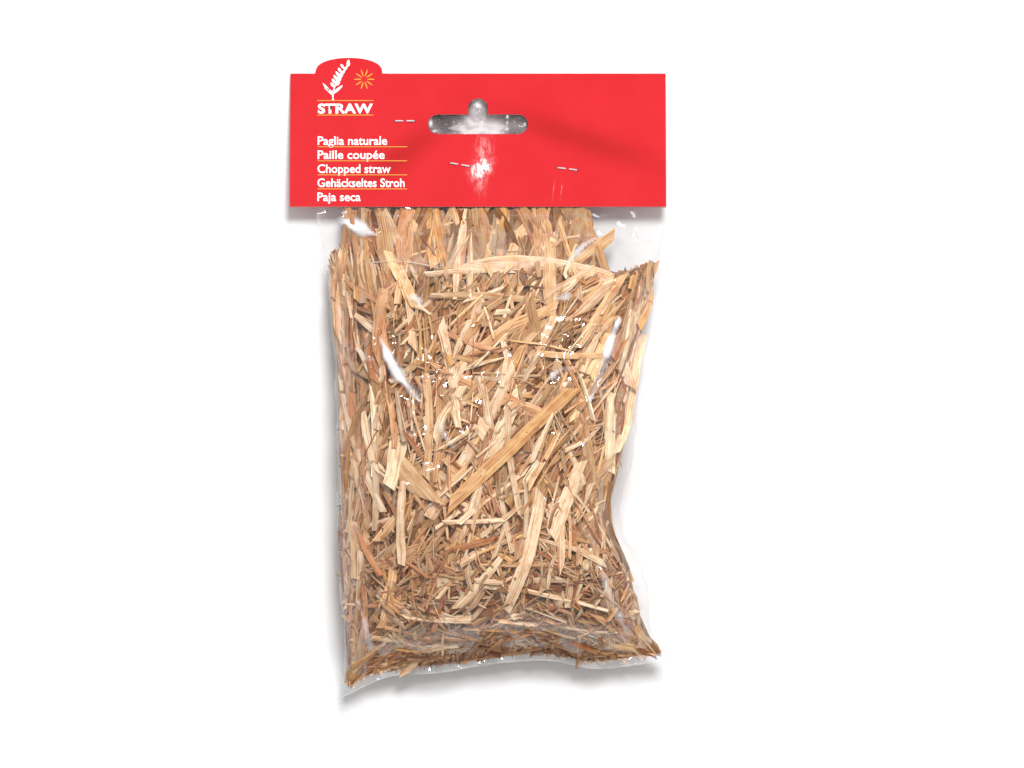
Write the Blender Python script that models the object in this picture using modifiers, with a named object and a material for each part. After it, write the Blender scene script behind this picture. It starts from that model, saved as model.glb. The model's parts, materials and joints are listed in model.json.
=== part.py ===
"""A hang-sell pack of chopped craft straw: a clear film bag, its straw filling, and a stapled header card.

Metres, +Z up. The pack lies on its back: the printed card and the front of the bag face +Z, the card
points along +Y and its folded edge rests on the surface. The origin is the middle of the whole pack's base.
"""

import math

import bmesh
import bpy
import numpy as np
from mathutils import Matrix, Vector

MM = 0.001

# Header card, measured in the card's own plane.
CARD_WIDTH = 120 * MM
CARD_HEIGHT = 43.5 * MM
CARD_THICKNESS = 0.4 * MM
TAB_WIDTH = 21.4 * MM
TAB_HEIGHT = 5.0 * MM
TAB_FROM_CARD_SIDE = 18.7 * MM
TAB_ROOT = 3.0 * MM
TAB_POWER = 2.6

# Hang slot.
SLOT_WIDTH = 32 * MM
SLOT_BAND_HEIGHT = 6.4 * MM
SLOT_BELOW_FOLD = 16.7 * MM
SLOT_BUMP_RADIUS = 3.2 * MM
SLOT_BUMP_RISE = 5.2 * MM
FILM_SLOT_END_INSET = 3.5 * MM
FILM_SLOT_SIDE_INSET = 0.5 * MM

# Staples: where each one sits on the card (x, height above the lower edge, turn in degrees).
STAPLE_WIDTH = 6.6 * MM
STAPLE_LEG_REACH = 2.5 * MM
STAPLE_WIRE = 0.5 * MM
STAPLE_CORNER = 0.45 * MM
STAPLE_ARCH = 0.12 * MM
STAPLE_HOLE_CLEARANCE = 0.2 * MM
STAPLES = {
    "staple_left": (-23.4 * MM, 27.8 * MM, 0.0),
    "staple_middle": (-5.8 * MM, 13.6 * MM, -10.0),
    "staple_right": (28.5 * MM, 12.2 * MM, -7.0),
}

# Film bag.
FILM_WALL = 0.25 * MM
FILM_LAYERS = 0.2 * MM
FILM_FLAT_WIDTH = 112.6 * MM
FILM_PAST_CARD = 1.3 * MM
MOUTH_BELOW_FOLD = 3.0 * MM
BAG_LENGTH = 155 * MM
BAG_THICKNESS = 36 * MM
SEAL_WIDTH = 3.5 * MM
SEAL_THICKNESS = 0.5 * MM
SEAL_SLIT = 1.0 * MM
SEAL_HEIGHT = 9.5 * MM
NECK_HEIGHT = 8.0 * MM
NECK_OPENING = 4.0 * MM
SECTION_POWER = 2.4
UNDERSIDE_FLATTENING = 3.5 * MM

SHARP_EDGE = math.radians(35)

# Clearances.
FIT_GAP = 0.3 * MM
STAPLE_GAP = 0.12 * MM
TAB_SKIN = 0.03 * MM
FIN_OVERLAP = 0.55 * MM
HINGE_GAP = 0.9 * MM
FLOOR_GAP = 0.05 * MM

# Straw filling: flat straws lie in layers under the film, over the tangled middle.
STRAW_THICKNESS = 0.45 * MM
LAYER_PITCH = 0.95 * MM
FIRST_LAYER_DEPTH = 0.95 * MM
STRAW_INSET = 3.5 * MM
SIDE_BY_SIDE_GAP = 0.6 * MM
STRAW_STEP = 4.5 * MM
STALK_BORE_SHARE = 0.6
FILL_EDGE_THICKNESS = 2.0 * MM
FILL_START = 0.12
FILL_END = 0.955

# Flat straws of the front: centre across the flat bag (-1 to 1) and down it (0 to 1), direction in degrees,
# length and width in mm.
WIDE_STRAWS = [
    (0.30, 0.115, 92, 31, 6),
    (0.10, 0.478, 43, 54, 7),
    (0.06, 0.434, 66, 22, 6.4),
    (0.14, 0.064, 72, 16, 4.8),
    (-0.33, 0.060, 90, 14.5, 4.5),
    (0.17, 0.692, 73, 39, 4.6),
    (0.00, 0.068, 76, 16.5, 4.4),
    (0.54, 0.083, 37, 20, 4),
    (-0.64, 0.228, 84, 22.5, 4.2),
    (-0.65, 0.363, 88, 25, 4.6),
    (0.55, 0.337, 66, 30, 4.6),
    (-0.52, 0.137, 115, 20, 4.2),
]
NARROW_STRAWS = [
    (-0.42, 0.255, 120, 43, 3),
    (-0.38, 0.435, 90, 33, 2.9),
    (-0.32, 0.441, 87, 34, 2.6),
    (-0.05, 0.389, 102, 16.7, 2.9),
    (0.42, 0.289, -3, 21, 2.2),
    (0.60, 0.202, 58, 27, 3.2),
    (-0.05, 0.176, -3, 34, 2.2),
    (-0.08, 0.122, 2, 34, 1.8),
    (-0.07, 0.673, -32, 25.7, 1.6),
    (-0.14, 0.595, -29, 20.5, 1.6),
    (-0.11, 0.629, 2, 19, 1.7),
    (0.40, 0.583, 36, 15, 3.4),
    (0.52, 0.583, 87, 36, 3.2),
    (-0.51, 0.633, 89, 26.6, 3),
    (-0.67, 0.559, 90, 28, 2.4),
    (0.04, 0.763, -7, 12, 2.6),
    (0.29, 0.792, 24, 22, 2.4),
    (-0.59, 0.783, 80, 20, 3.4),
]
# Whole hollow stalks: the same figures, with the stalk's diameter in place of the width.
HOLLOW_STRAWS = [
    (-0.16, 0.286, 68, 24, 3),
    (0.50, 0.744, 70, 24, 2.8),
    (-0.30, 0.763, 20, 22, 2.8),
]
BACK_STRAWS = [
    (-0.34, 0.312, 62, 42, 5.4),
    (0.20, 0.389, 104, 46, 5),
    (-0.05, 0.621, 28, 40, 5.6),
    (-0.41, 0.570, 95, 34, 4.2),
    (0.30, 0.673, 75, 26, 4.4),
    (-0.02, 0.221, 12, 34, 4),
]

# Sections along the bag, as shares of its length from the neck to the seal.
BAG_STATIONS = (0, 0.03, 0.07, 0.115, 0.16, 0.23, 0.3, 0.4, 0.5, 0.58, 0.66, 0.73, 0.8, 0.87, 0.92, 0.955, 0.98, 1)
SECTION_STEPS = 16
SEAL_STEPS = 24

# What follows from the sizes above.
FILM_RIGHT = CARD_WIDTH / 2 + FILM_PAST_CARD
FILM_LEFT = FILM_RIGHT - FILM_FLAT_WIDTH
CARD_CENTRE_X = -(max(CARD_WIDTH / 2, FILM_RIGHT) + min(-CARD_WIDTH / 2, FILM_LEFT)) / 2
LEAF_INSIDE = FILM_LAYERS / 2 + FIT_GAP
LEAF_OUTSIDE = LEAF_INSIDE + CARD_THICKNESS
LEAF_MIDDLE = (LEAF_INSIDE + LEAF_OUTSIDE) / 2
CUTTER_REACH = 3 * LEAF_OUTSIDE
CARD_EDGE = HINGE_GAP + FIT_GAP
FOLD_CENTRE = CARD_EDGE + CARD_HEIGHT - LEAF_OUTSIDE
SLOT_CENTRE = CARD_EDGE + CARD_HEIGHT - SLOT_BELOW_FOLD
TAB_CENTRE_X = TAB_FROM_CARD_SIDE - CARD_WIDTH / 2
DROOP = math.asin((NECK_HEIGHT - LEAF_OUTSIDE - FLOOR_GAP) / FOLD_CENTRE)
TAB_TIP = CARD_EDGE + CARD_HEIGHT + TAB_HEIGHT
HEADER_REACH = TAB_TIP * math.cos(DROOP) + LEAF_OUTSIDE * math.sin(DROOP)
HINGE_Y = (BAG_LENGTH - HEADER_REACH) / 2
BAG_TOP_Y = HINGE_Y - HINGE_GAP


def clear_scene():
    """Removes every object, so that the file can be run again."""
    for obj in list(bpy.data.objects):
        bpy.data.objects.remove(obj, do_unlink=True)


def new_collection(name, parent=None, hidden=False):
    """A collection in the scene, or in another one."""
    made = bpy.data.collections.new(name)
    (parent or bpy.context.scene.collection).children.link(made)
    made.hide_render = hidden
    return made


def plain_material(name, colour, roughness, metallic=0.0, alpha=1.0):
    """A Principled material of one colour."""
    made = bpy.data.materials.new(name)
    made.use_nodes = True
    shader = made.node_tree.nodes["Principled BSDF"]
    shader.inputs["Base Color"].default_value = (*colour, 1.0)
    shader.inputs["Roughness"].default_value = roughness
    shader.inputs["Metallic"].default_value = metallic
    shader.inputs["Alpha"].default_value = alpha
    made.diffuse_color = (*colour, alpha)
    return made


def add_object(name, data, collection, material=None, parent=None):
    """Links a new object, with its material and its parent."""
    made = bpy.data.objects.new(name, data)
    if isinstance(data, bpy.types.Mesh):
        data.shade_smooth()
        data.set_sharp_from_angle(angle=SHARP_EDGE)
    collection.objects.link(made)
    made.parent = parent
    if material and not data.materials:
        data.materials.append(material)
    return made


def smooth(knots, at):
    """A smooth curve through (place, value) knots: cubic pieces whose slopes come from the neighbours."""
    x, y = (np.array(column, float) for column in zip(*knots))
    slope = np.gradient(y, x)
    at = np.clip(np.asarray(at, float), x[0], x[-1])
    i = np.clip(np.searchsorted(x, at) - 1, 0, len(x) - 2)
    step = x[i + 1] - x[i]
    s = (at - x[i]) / step
    return (
        (2 * s**3 - 3 * s**2 + 1) * y[i]
        + (s**3 - 2 * s**2 + s) * step * slope[i]
        + (3 * s**2 - 2 * s**3) * y[i + 1]
        + (s**3 - s**2) * step * slope[i + 1]
    )


# ---------------------------------------------------------------- the shape of the filled bag


def left_edge(t):
    """X of the film's left edge at a share t of the bag's length: drawn in by the filling, out at the ear."""
    mouth = CARD_CENTRE_X + FILM_LEFT
    inset = [(0, 0), (0.11, 2.4), (0.2, 4.3), (0.41, 6.4), (0.62, 6.9), (0.83, 7.8), (0.94, 9.0), (1, 8.0)]
    return mouth + smooth([(k, v * MM) for k, v in inset], t)


def right_edge(t):
    """X of the film's right edge: the same, with a slack hollow past the middle."""
    mouth = CARD_CENTRE_X + FILM_RIGHT
    inset = [(0, 0), (0.11, 2.6), (0.21, 5.8), (0.3, 9.2), (0.42, 10.8), (0.55, 12.3), (0.66, 16.0), (0.73, 14.6)]
    inset += [(0.81, 8.8), (0.9, 6.6), (0.96, 5.6), (1, 0.6)]
    return mouth - smooth([(k, v * MM) for k, v in inset], t)


def seal_edge(x):
    """How far below the hinge the bag's sealed edge lies at each X: lowest at the left ear, and wavy."""
    share = (np.asarray(x, float) - left_edge(1)) / (right_edge(1) - left_edge(1))
    rise = [(0, 0), (0.14, 6.4), (0.28, 7.6), (0.43, 10.2), (0.6, 11.8), (0.79, 9.2), (0.9, 10.4), (1, 11.8)]
    return BAG_LENGTH - smooth([(k, v * MM) for k, v in rise], share)


def cavity_length(x):
    """From the bag's neck to the inside of the seal."""
    return seal_edge(x) - HINGE_GAP - SEAL_WIDTH


def front_crown(t):
    """Z of the bag's front along its middle."""
    full = BAG_THICKNESS
    neck = NECK_HEIGHT + NECK_OPENING / 2
    shares = [(0.07, 0.44), (0.16, 0.72), (0.3, 0.92), (0.5, 0.995), (0.61, 1), (0.72, 0.98), (0.87, 0.87), (0.94, 0.68)]
    knots = [(0, neck)] + [(k, v * full) for k, v in shares] + [(1, SEAL_HEIGHT + SEAL_SLIT / 2)]
    return smooth(knots, t)


def back_crown(t):
    """Z of the bag's back along its middle: flat on the surface for most of its length."""
    knots = [(0, NECK_HEIGHT - NECK_OPENING / 2), (0.07, 2.2 * MM), (0.16, 0), (0.5, 0), (0.87, 0), (0.94, 1.6 * MM)]
    return np.maximum(smooth(knots + [(1, SEAL_HEIGHT - SEAL_SLIT / 2)], t), 0)


def side_line(t):
    """Z of the bag's two side edges."""
    shares = [(0.07, 0.25), (0.16, 0.32), (0.3, 0.39), (0.5, 0.43), (0.72, 0.43), (0.87, 0.39), (0.95, 0.32)]
    knots = [(0, NECK_HEIGHT)] + [(k, v * BAG_THICKNESS) for k, v in shares] + [(1, SEAL_HEIGHT)]
    return smooth(knots, t)


def bulge(across):
    """How far a section stands from its side line, from 0 at an edge to 1 in the middle."""
    return np.sqrt(np.maximum(1 - np.abs(across) ** SECTION_POWER, 0))


def front_height(across, t):
    return side_line(t) + (front_crown(t) - side_line(t)) * bulge(across)


def back_height(across, t):
    """The underside: a bulge that the surface below has pressed flat."""
    depth = side_line(t) - back_crown(t)
    pressed = UNDERSIDE_FLATTENING * np.clip(depth / (0.3 * BAG_THICKNESS), 0, 1)
    return np.maximum(side_line(t) - (depth + pressed) * bulge(across), back_crown(t))


def place_x(across, t):
    return left_edge(t) + (right_edge(t) - left_edge(t)) * (np.asarray(across) + 1) / 2


def place_y(x, t):
    return BAG_TOP_Y - t * cavity_length(x)


def section_place(x, y):
    """(across, t) of a point in plan: the inverse of place_x and place_y."""
    t = np.clip((BAG_TOP_Y - y) / cavity_length(x), 0, 1)
    middle = (left_edge(t) + right_edge(t)) / 2
    half = (right_edge(t) - left_edge(t)) / 2
    return np.clip((x - middle) / half, -1, 1), t


# ---------------------------------------------------------------- meshes made from sections


def loft(name, rings, closed_ring=True, cap_start=True, cap_end=True):
    """Skins equal rings of points in order. A cap joins the two halves of its ring by strips."""
    count = len(rings[0])
    points = [tuple(p) for ring in rings for p in ring]
    faces = []
    for r in range(len(rings) - 1):
        for k in range(count if closed_ring else count - 1):
            n = (k + 1) % count
            faces.append((r * count + k, r * count + n, (r + 1) * count + n, (r + 1) * count + k))
    for wanted, base, turned in ((cap_start, 0, True), (cap_end, (len(rings) - 1) * count, False)):
        for k in range(count // 2) if wanted else ():
            strip = [base + k, base + k + 1, base + (count - k - 2) % count, base + count - 1 - k]
            strip = list(dict.fromkeys(strip))
            if len(strip) > 2:
                faces.append(tuple(strip[::-1] if turned else strip))
    mesh = bpy.data.meshes.new(name)
    mesh.from_pydata(points, [], faces)
    outward(mesh)
    return mesh


def outward(mesh):
    """Turns every face of a mesh to point out of it."""
    bm = bmesh.new()
    bm.from_mesh(mesh)
    bmesh.ops.remove_doubles(bm, verts=bm.verts, dist=1e-6)
    bmesh.ops.recalc_face_normals(bm, faces=bm.faces)
    bm.to_mesh(mesh)
    bm.free()


def section_ring(t, across, front, back):
    """One closed ring round the bag: along the front from left to right, and home along the back."""
    x = place_x(across, t)
    y = place_y(x, t)
    top = np.stack([x, y, front], axis=1)
    low = np.stack([x, y, back], axis=1)[::-1]
    return np.concatenate([top, low])


def bag_surface(name):
    """The film's outside as an open tube: its mouth at the neck, and a slit closed at the seal."""
    across = -np.cos(np.linspace(0, math.pi, SECTION_STEPS + 1))
    edge = 0.5 * SEAL_SLIT
    rings = []
    for t in BAG_STATIONS:
        front = np.maximum(front_height(across, t), side_line(t) + edge * (1 - np.abs(across)))
        back = np.minimum(back_height(across, t), side_line(t) - edge * (1 - np.abs(across)))
        front[[0, -1]] = side_line(t) + edge / 2
        back[[0, -1]] = side_line(t) - edge / 2
        rings.append(section_ring(t, across, front, back))
    return loft(name, rings, cap_start=False)


def seal_fin(name):
    """The welded strip along the bottom: two film layers in one, from inside the slit to the bag's edge."""
    first = place_x(-1, 1.0) + SEAL_SLIT
    last = place_x(1, 1.0)
    x = np.linspace(first - SEAL_SLIT, last, SEAL_STEPS + 1)
    inner = BAG_TOP_Y - cavity_length(x) + FIN_OVERLAP
    outer = HINGE_Y - seal_edge(x)
    low = SEAL_HEIGHT - SEAL_THICKNESS / 2
    high = SEAL_HEIGHT + SEAL_THICKNESS / 2
    rings = [
        [(px, a, low), (px, b, low), (px, b, high), (px, a, high)] for px, a, b in zip(x, inner, outer)
    ]
    return loft(name, rings)


def fill_mesh(name, front_depth, back_depth):
    """The tangled middle of the straw: the bag's own shape, drawn in by the layers that lie over it."""
    rings = []
    for t in np.linspace(FILL_START, FILL_END, 13):
        tall = front_crown(t) - back_crown(t)
        least = (front_depth + back_depth + FILL_EDGE_THICKNESS) / tall
        reach = (1 - min(least, 0.98) ** 2) ** (1 / SECTION_POWER)
        across = reach * -np.cos(np.linspace(0, math.pi, SECTION_STEPS + 1))
        front = front_height(across, t) - front_depth
        back = back_height(across, t) + back_depth
        rings.append(section_ring(t, across, front, np.minimum(back, front - FIT_GAP)))
    return loft(name, rings)


# ---------------------------------------------------------------- straws


def straw_corners(straw):
    """The four corners in plan of a straw given as (x, y, direction, length, width), in metres."""
    x, y, direction, length, width = straw
    turn = Matrix.Rotation(math.radians(direction), 2)
    halves = [(length / 2, width / 2), (-length / 2, width / 2), (-length / 2, -width / 2), (length / 2, -width / 2)]
    return [Vector((x, y)) + turn @ Vector(h) for h in halves]


def apart(first, second, gap):
    """True if two straws, as corner lists in plan, are at least a gap apart along some edge's normal."""
    for corners in (first, second):
        for k in range(2):
            axis = (corners[k + 1] - corners[k]).normalized()
            a = [axis.dot(c) for c in first]
            b = [axis.dot(c) for c in second]
            if min(b) - max(a) > gap or min(a) - max(b) > gap:
                return True
    return False


def layers_for(straws, spans):
    """The outermost layer in which each straw crosses none that is already laid."""
    laid = []
    found = []
    for straw, span in zip(straws, spans):
        corners = straw_corners(straw)
        layer = 0
        while not all(
            apart(corners, other, SIDE_BY_SIDE_GAP)
            for other, low, high in laid
            if low < layer + span and layer < high
        ):
            layer += 1
        laid.append((corners, layer, layer + span))
        found.append(layer)
    return found


def along_straw(straw):
    """Stations down a straw in plan, and its sideways direction."""
    x, y, direction, length, _ = straw
    turn = math.radians(direction)
    forward = np.array([math.cos(turn), math.sin(turn)])
    steps = max(3, math.ceil(length / STRAW_STEP))
    at = np.linspace(-length / 2, length / 2, steps + 1)
    return np.array([x, y]) + at[:, None] * forward, np.array([-forward[1], forward[0]])


def flat_straw(name, straw, depth, face_height, inward):
    """A ribbon that follows the film at a depth: open, for Solidify to give it its thickness."""
    points, sideways = along_straw(straw)
    width = straw[4]
    rows = []
    for share in (-0.5, 0, 0.5):
        plan = points + share * width * sideways
        across, t = section_place(plan[:, 0], plan[:, 1])
        z = face_height(across, t) + inward * depth
        rows.append(np.column_stack([plan, z]))
    mesh = bpy.data.meshes.new(name)
    count = len(points)
    faces = [
        (r * count + k, r * count + k + 1, (r + 1) * count + k + 1, (r + 1) * count + k)
        for r in range(2)
        for k in range(count - 1)
    ]
    mesh.from_pydata([tuple(p) for p in np.concatenate(rows)], [], faces)
    return mesh


def hollow_straw(name, straw, depth):
    """A whole stalk: an open tube of ten sides, as high as the front film leaves room for all of its width."""
    points, sideways = along_straw(straw)
    radius = straw[4] / 2
    heights = []
    for share in (-1, -0.5, 0, 0.5, 1):
        plan = points + share * radius * sideways
        heights.append(front_height(*section_place(plan[:, 0], plan[:, 1])))
    axis = np.column_stack([points, np.min(heights, axis=0) - depth - radius])
    rings = []
    for angle_points in axis:
        turn = np.linspace(0, 2 * math.pi, 11)[:-1]
        side = np.array([*sideways, 0])
        up = np.array([0, 0, 1])
        rings.append(angle_points + radius * (np.cos(turn)[:, None] * side + np.sin(turn)[:, None] * up))
    return loft(name, rings, cap_start=False, cap_end=False)


def wall(obj, thickness, offset=-1.0):
    """Gives an open surface its thickness, on the inside unless told otherwise."""
    solid = obj.modifiers.new("Wall", "SOLIDIFY")
    solid.thickness = thickness
    solid.offset = offset
    solid.use_rim = True
    return solid


def placed(straws):
    """The straws of a list in metres from the origin, each drawn in until it lies inside the bag."""
    found = []
    for across, down, direction, length, width in straws:
        length, width = length * MM, width * MM
        run, rise = abs(math.cos(math.radians(direction))), abs(math.sin(math.radians(direction)))
        half_x = (run * length + rise * width) / 2 + STRAW_INSET
        half_y = (rise * length + run * width) / 2
        x = CARD_CENTRE_X + (FILM_LEFT + FILM_RIGHT) / 2 + across * FILM_FLAT_WIDTH / 2
        y = BAG_TOP_Y - down * BAG_LENGTH
        _, t = section_place(x, np.linspace(y - half_y, y + half_y, 5))
        x = float(np.clip(x, left_edge(t).max() + half_x, right_edge(t).min() - half_x))
        y = min(y, BAG_TOP_Y - half_y - HINGE_GAP)
        y = max(y, BAG_TOP_Y - float(cavity_length(x)) + half_y + STRAW_INSET)
        found.append((x, y, direction, length, width))
    return found


def front_straws():
    """The front's straws as (name, straw, layer, layers taken): the wide ones outermost, then the stalks, then the narrow ones."""
    wide, hollow, narrow = map(placed, (WIDE_STRAWS, HOLLOW_STRAWS, NARROW_STRAWS))
    stalk_span = math.ceil(max(straw[4] for straw in hollow) / LAYER_PITCH)
    spans = [1] * len(wide) + [stalk_span] * len(hollow) + [1] * len(narrow)
    names = [f"wide_straw_{k + 1:02d}" for k in range(len(wide))]
    names += [f"hollow_straw_{k + 1:02d}" for k in range(len(hollow))]
    names += [f"narrow_straw_{k + 1:02d}" for k in range(len(narrow))]
    laid = wide + hollow + narrow
    return list(zip(names, laid, layers_for(laid, spans), spans))


def back_straws():
    laid = placed(BACK_STRAWS)
    names = [f"back_straw_{k + 1:02d}" for k in range(len(laid))]
    return list(zip(names, laid, layers_for(laid, [1] * len(laid)), [1] * len(laid)))


def layers_depth(straws):
    """From the film to the inside of the deepest layer."""
    return FIRST_LAYER_DEPTH + LAYER_PITCH * max(layer + span for _, _, layer, span in straws)


def add_straws(front, back, collection, material):
    for name, straw, layer, span in front + back:
        depth = FIRST_LAYER_DEPTH + layer * LAYER_PITCH
        if span > 1:
            made = add_object(name, hollow_straw(name, straw, depth), collection, material)
            wall(made, straw[4] / 2 * (1 - STALK_BORE_SHARE))
        elif name.startswith("back"):
            made = add_object(name, flat_straw(name, straw, depth, back_height, 1), collection, material)
            wall(made, STRAW_THICKNESS, offset=1.0)
        else:
            made = add_object(name, flat_straw(name, straw, depth, front_height, -1), collection, material)
            wall(made, STRAW_THICKNESS)


# ---------------------------------------------------------------- header card


def arc(centre, radius, start, end, steps):
    """Points along an arc, in degrees, its two ends included."""
    return [
        (centre[0] + radius * math.cos(a), centre[1] + radius * math.sin(a))
        for a in np.radians(np.linspace(start, end, steps + 1))
    ]


def slot_outline(width, band_height, bump_radius, bump_rise, centre_y):
    """The hang slot: a band with round ends, and a round-topped bump in the middle of its upper side."""
    end = band_height / 2
    side = width / 2 - end
    top = centre_y + end
    bump_centre = top + bump_rise - bump_radius
    outline = arc((side, centre_y), end, -90, 90, 8)
    outline += arc((0, bump_centre), bump_radius, 0, 180, 10)
    outline += arc((-side, centre_y), end, 90, 270, 8)
    corners = [(bump_radius, top), (-bump_radius, top)]
    return outline[:9] + corners[:1] + outline[9:20] + corners[1:] + outline[20:]


def tab_outline(root, width, height):
    """The die-cut tab: straight to the fold, then a full round arch above it (y = 0 is the fold)."""
    arch = [
        (width / 2 * math.cos(a), height * math.sin(a) ** (2 / TAB_POWER))
        for a in np.linspace(0, math.pi, 17)[1:-1]
    ]
    return [(-width / 2, -root), (width / 2, -root), (width / 2, 0), *arch, (-width / 2, 0)]


def plate(name, outline, low, high, collection, parent, hidden=False):
    """A flat outline in the card's plane, made solid from low to high. It is a mesh, so it can be cut or cut with."""
    curve = bpy.data.curves.new(name + "_outline", "CURVE")
    curve.dimensions = "2D"
    curve.fill_mode = "BOTH"
    curve.extrude = (high - low) / 2
    spline = curve.splines.new("POLY")
    spline.points.add(len(outline) - 1)
    for point, (x, y) in zip(spline.points, outline):
        point.co = (x, y, 0, 1)
    spline.use_cyclic_u = True
    drawn = add_object(name + "_outline", curve, collection)
    bpy.context.view_layer.update()
    mesh = bpy.data.meshes.new_from_object(drawn.evaluated_get(bpy.context.evaluated_depsgraph_get()))
    bpy.data.objects.remove(drawn, do_unlink=True)
    mesh.transform(Matrix.Translation((0, 0, (low + high) / 2)))
    outward(mesh)
    made = add_object(name, mesh, collection, parent=parent)
    if hidden:
        as_cutter(made)
    return made


def as_cutter(obj):
    obj.hide_render = True
    obj.display_type = "WIRE"


def boolean(obj, operation, other=None, others=None):
    """A Boolean with one object, or with every object of a collection."""
    cut = obj.modifiers.new(operation.title(), "BOOLEAN")
    cut.operation = operation
    if others:
        cut.operand_type = "COLLECTION"
        cut.collection = others
    else:
        cut.object = other
    return cut


def staple_legs():
    """The places in the card's plane where staple legs pass through it."""
    found = []
    for x, above, turn in STAPLES.values():
        reach = STAPLE_WIDTH / 2 - STAPLE_WIRE / 2
        along = Vector((math.cos(math.radians(turn)), math.sin(math.radians(turn))))
        for side in (-1, 1):
            found.append(Vector((x, CARD_EDGE + above)) + side * reach * along)
    return found


def leg_cutters(name, collection, parent):
    """A round hole through card and film for each staple leg."""
    for k, place in enumerate(staple_legs()):
        bm = bmesh.new()
        radius = STAPLE_WIRE / 2 + STAPLE_HOLE_CLEARANCE
        bmesh.ops.create_cone(
            bm, cap_ends=True, segments=12, radius1=radius, radius2=radius, depth=2 * CUTTER_REACH
        )
        mesh = bpy.data.meshes.new(f"{name}_{k}")
        bm.to_mesh(mesh)
        bm.free()
        cutter = add_object(f"{name}_{k}", mesh, collection, parent=parent)
        cutter.location = (*place, 0)
        as_cutter(cutter)


def folded_card(name, collection, cutters, material, parent):
    """One sheet folded over the bag's mouth: a bent strip with a wall, its tab standing up past the fold."""
    fold = arc((FOLD_CENTRE, 0), LEAF_MIDDLE, -90, 90, 8)
    path = [(CARD_EDGE, -LEAF_MIDDLE), *fold, (CARD_EDGE, LEAF_MIDDLE)]
    mesh = bpy.data.meshes.new(name)
    points = [(side * CARD_WIDTH / 2, y, z) for y, z in path for side in (-1, 1)]
    faces = [(2 * k, 2 * k + 1, 2 * k + 3, 2 * k + 2) for k in range(len(path) - 1)]
    mesh.from_pydata(points, [], faces)
    card = add_object(name, mesh, collection, material, parent)
    wall(card, CARD_THICKNESS, offset=0)

    fold_line = FOLD_CENTRE + LEAF_OUTSIDE
    tab = plate(
        "tab_plate", tab_outline(TAB_ROOT, TAB_WIDTH, TAB_HEIGHT), LEAF_INSIDE + TAB_SKIN, LEAF_OUTSIDE - TAB_SKIN,
        cutters["joined"], parent, hidden=True,
    )
    tab.location = (TAB_CENTRE_X, fold_line, 0)
    notch_outline = [(x, -y) for x, y in tab_outline(TAB_ROOT, TAB_WIDTH, TAB_HEIGHT)]
    notch = plate(
        "tab_notch", notch_outline, -CUTTER_REACH, LEAF_INSIDE - TAB_SKIN, cutters["card"], parent, hidden=True
    )
    notch.location = (TAB_CENTRE_X, fold_line, 0)
    slot = slot_outline(SLOT_WIDTH, SLOT_BAND_HEIGHT, SLOT_BUMP_RADIUS, SLOT_BUMP_RISE, SLOT_CENTRE)
    plate("card_slot", slot, -CUTTER_REACH, CUTTER_REACH, cutters["card"], parent, hidden=True)
    boolean(card, "UNION", other=tab)
    boolean(card, "DIFFERENCE", others=cutters["card"])
    return card


def mouth_film(name, collection, cutters, material, parent):
    """The bag's flat mouth between the card's leaves, with its own smaller hang slot."""
    low, high = HINGE_GAP, CARD_EDGE + CARD_HEIGHT - MOUTH_BELOW_FOLD
    outline = [(FILM_LEFT, low), (FILM_RIGHT, low), (FILM_RIGHT, high), (FILM_LEFT, high)]
    film = plate(name, outline, -FILM_LAYERS / 2, FILM_LAYERS / 2, collection, parent)
    film.data.materials.append(material)
    slot = slot_outline(
        SLOT_WIDTH - 2 * FILM_SLOT_END_INSET,
        SLOT_BAND_HEIGHT - 2 * FILM_SLOT_SIDE_INSET,
        SLOT_BUMP_RADIUS - FILM_SLOT_SIDE_INSET,
        SLOT_BUMP_RISE - FILM_SLOT_SIDE_INSET / 2,
        SLOT_CENTRE,
    )
    plate("film_slot", slot, -CUTTER_REACH, CUTTER_REACH, cutters["film"], parent, hidden=True)
    boolean(film, "DIFFERENCE", others=cutters["film"])
    return film


def staple_path():
    """Half of a closed staple, from the middle of its crown to the tip of one clinched leg, as (x, z)."""
    lift = LEAF_OUTSIDE + STAPLE_GAP + STAPLE_WIRE / 2
    leg = STAPLE_WIDTH / 2 - STAPLE_WIRE / 2
    corner = STAPLE_CORNER
    path = [(0, -lift)]
    path += arc((leg - corner, -lift + corner), corner, -90, 0, 4)
    path += arc((leg - corner, lift - corner), corner, 0, 90, 4)
    middle = leg - corner - STAPLE_LEG_REACH / 3
    path += [(middle, lift + STAPLE_ARCH), (leg - STAPLE_LEG_REACH, lift)]
    return path


def staple(name, place, collection, material, parent):
    """A round-wire staple put in from the back, its legs turned in over the front of the card."""
    half = staple_path()
    path = [(-x, z) for x, z in half[::-1]] + half[1:]
    curve = bpy.data.curves.new(name, "CURVE")
    curve.dimensions = "3D"
    curve.bevel_depth = STAPLE_WIRE / 2
    curve.bevel_resolution = 2
    curve.use_fill_caps = True
    spline = curve.splines.new("POLY")
    spline.points.add(len(path) - 1)
    for point, (x, z) in zip(spline.points, path):
        point.co = (x, 0, z, 1)
    made = add_object(name, curve, collection, material, parent)
    x, above, turn = place
    made.location = (x, CARD_EDGE + above, 0)
    made.rotation_euler = (0, 0, math.radians(turn))
    return made


# ---------------------------------------------------------------- the pack


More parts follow.
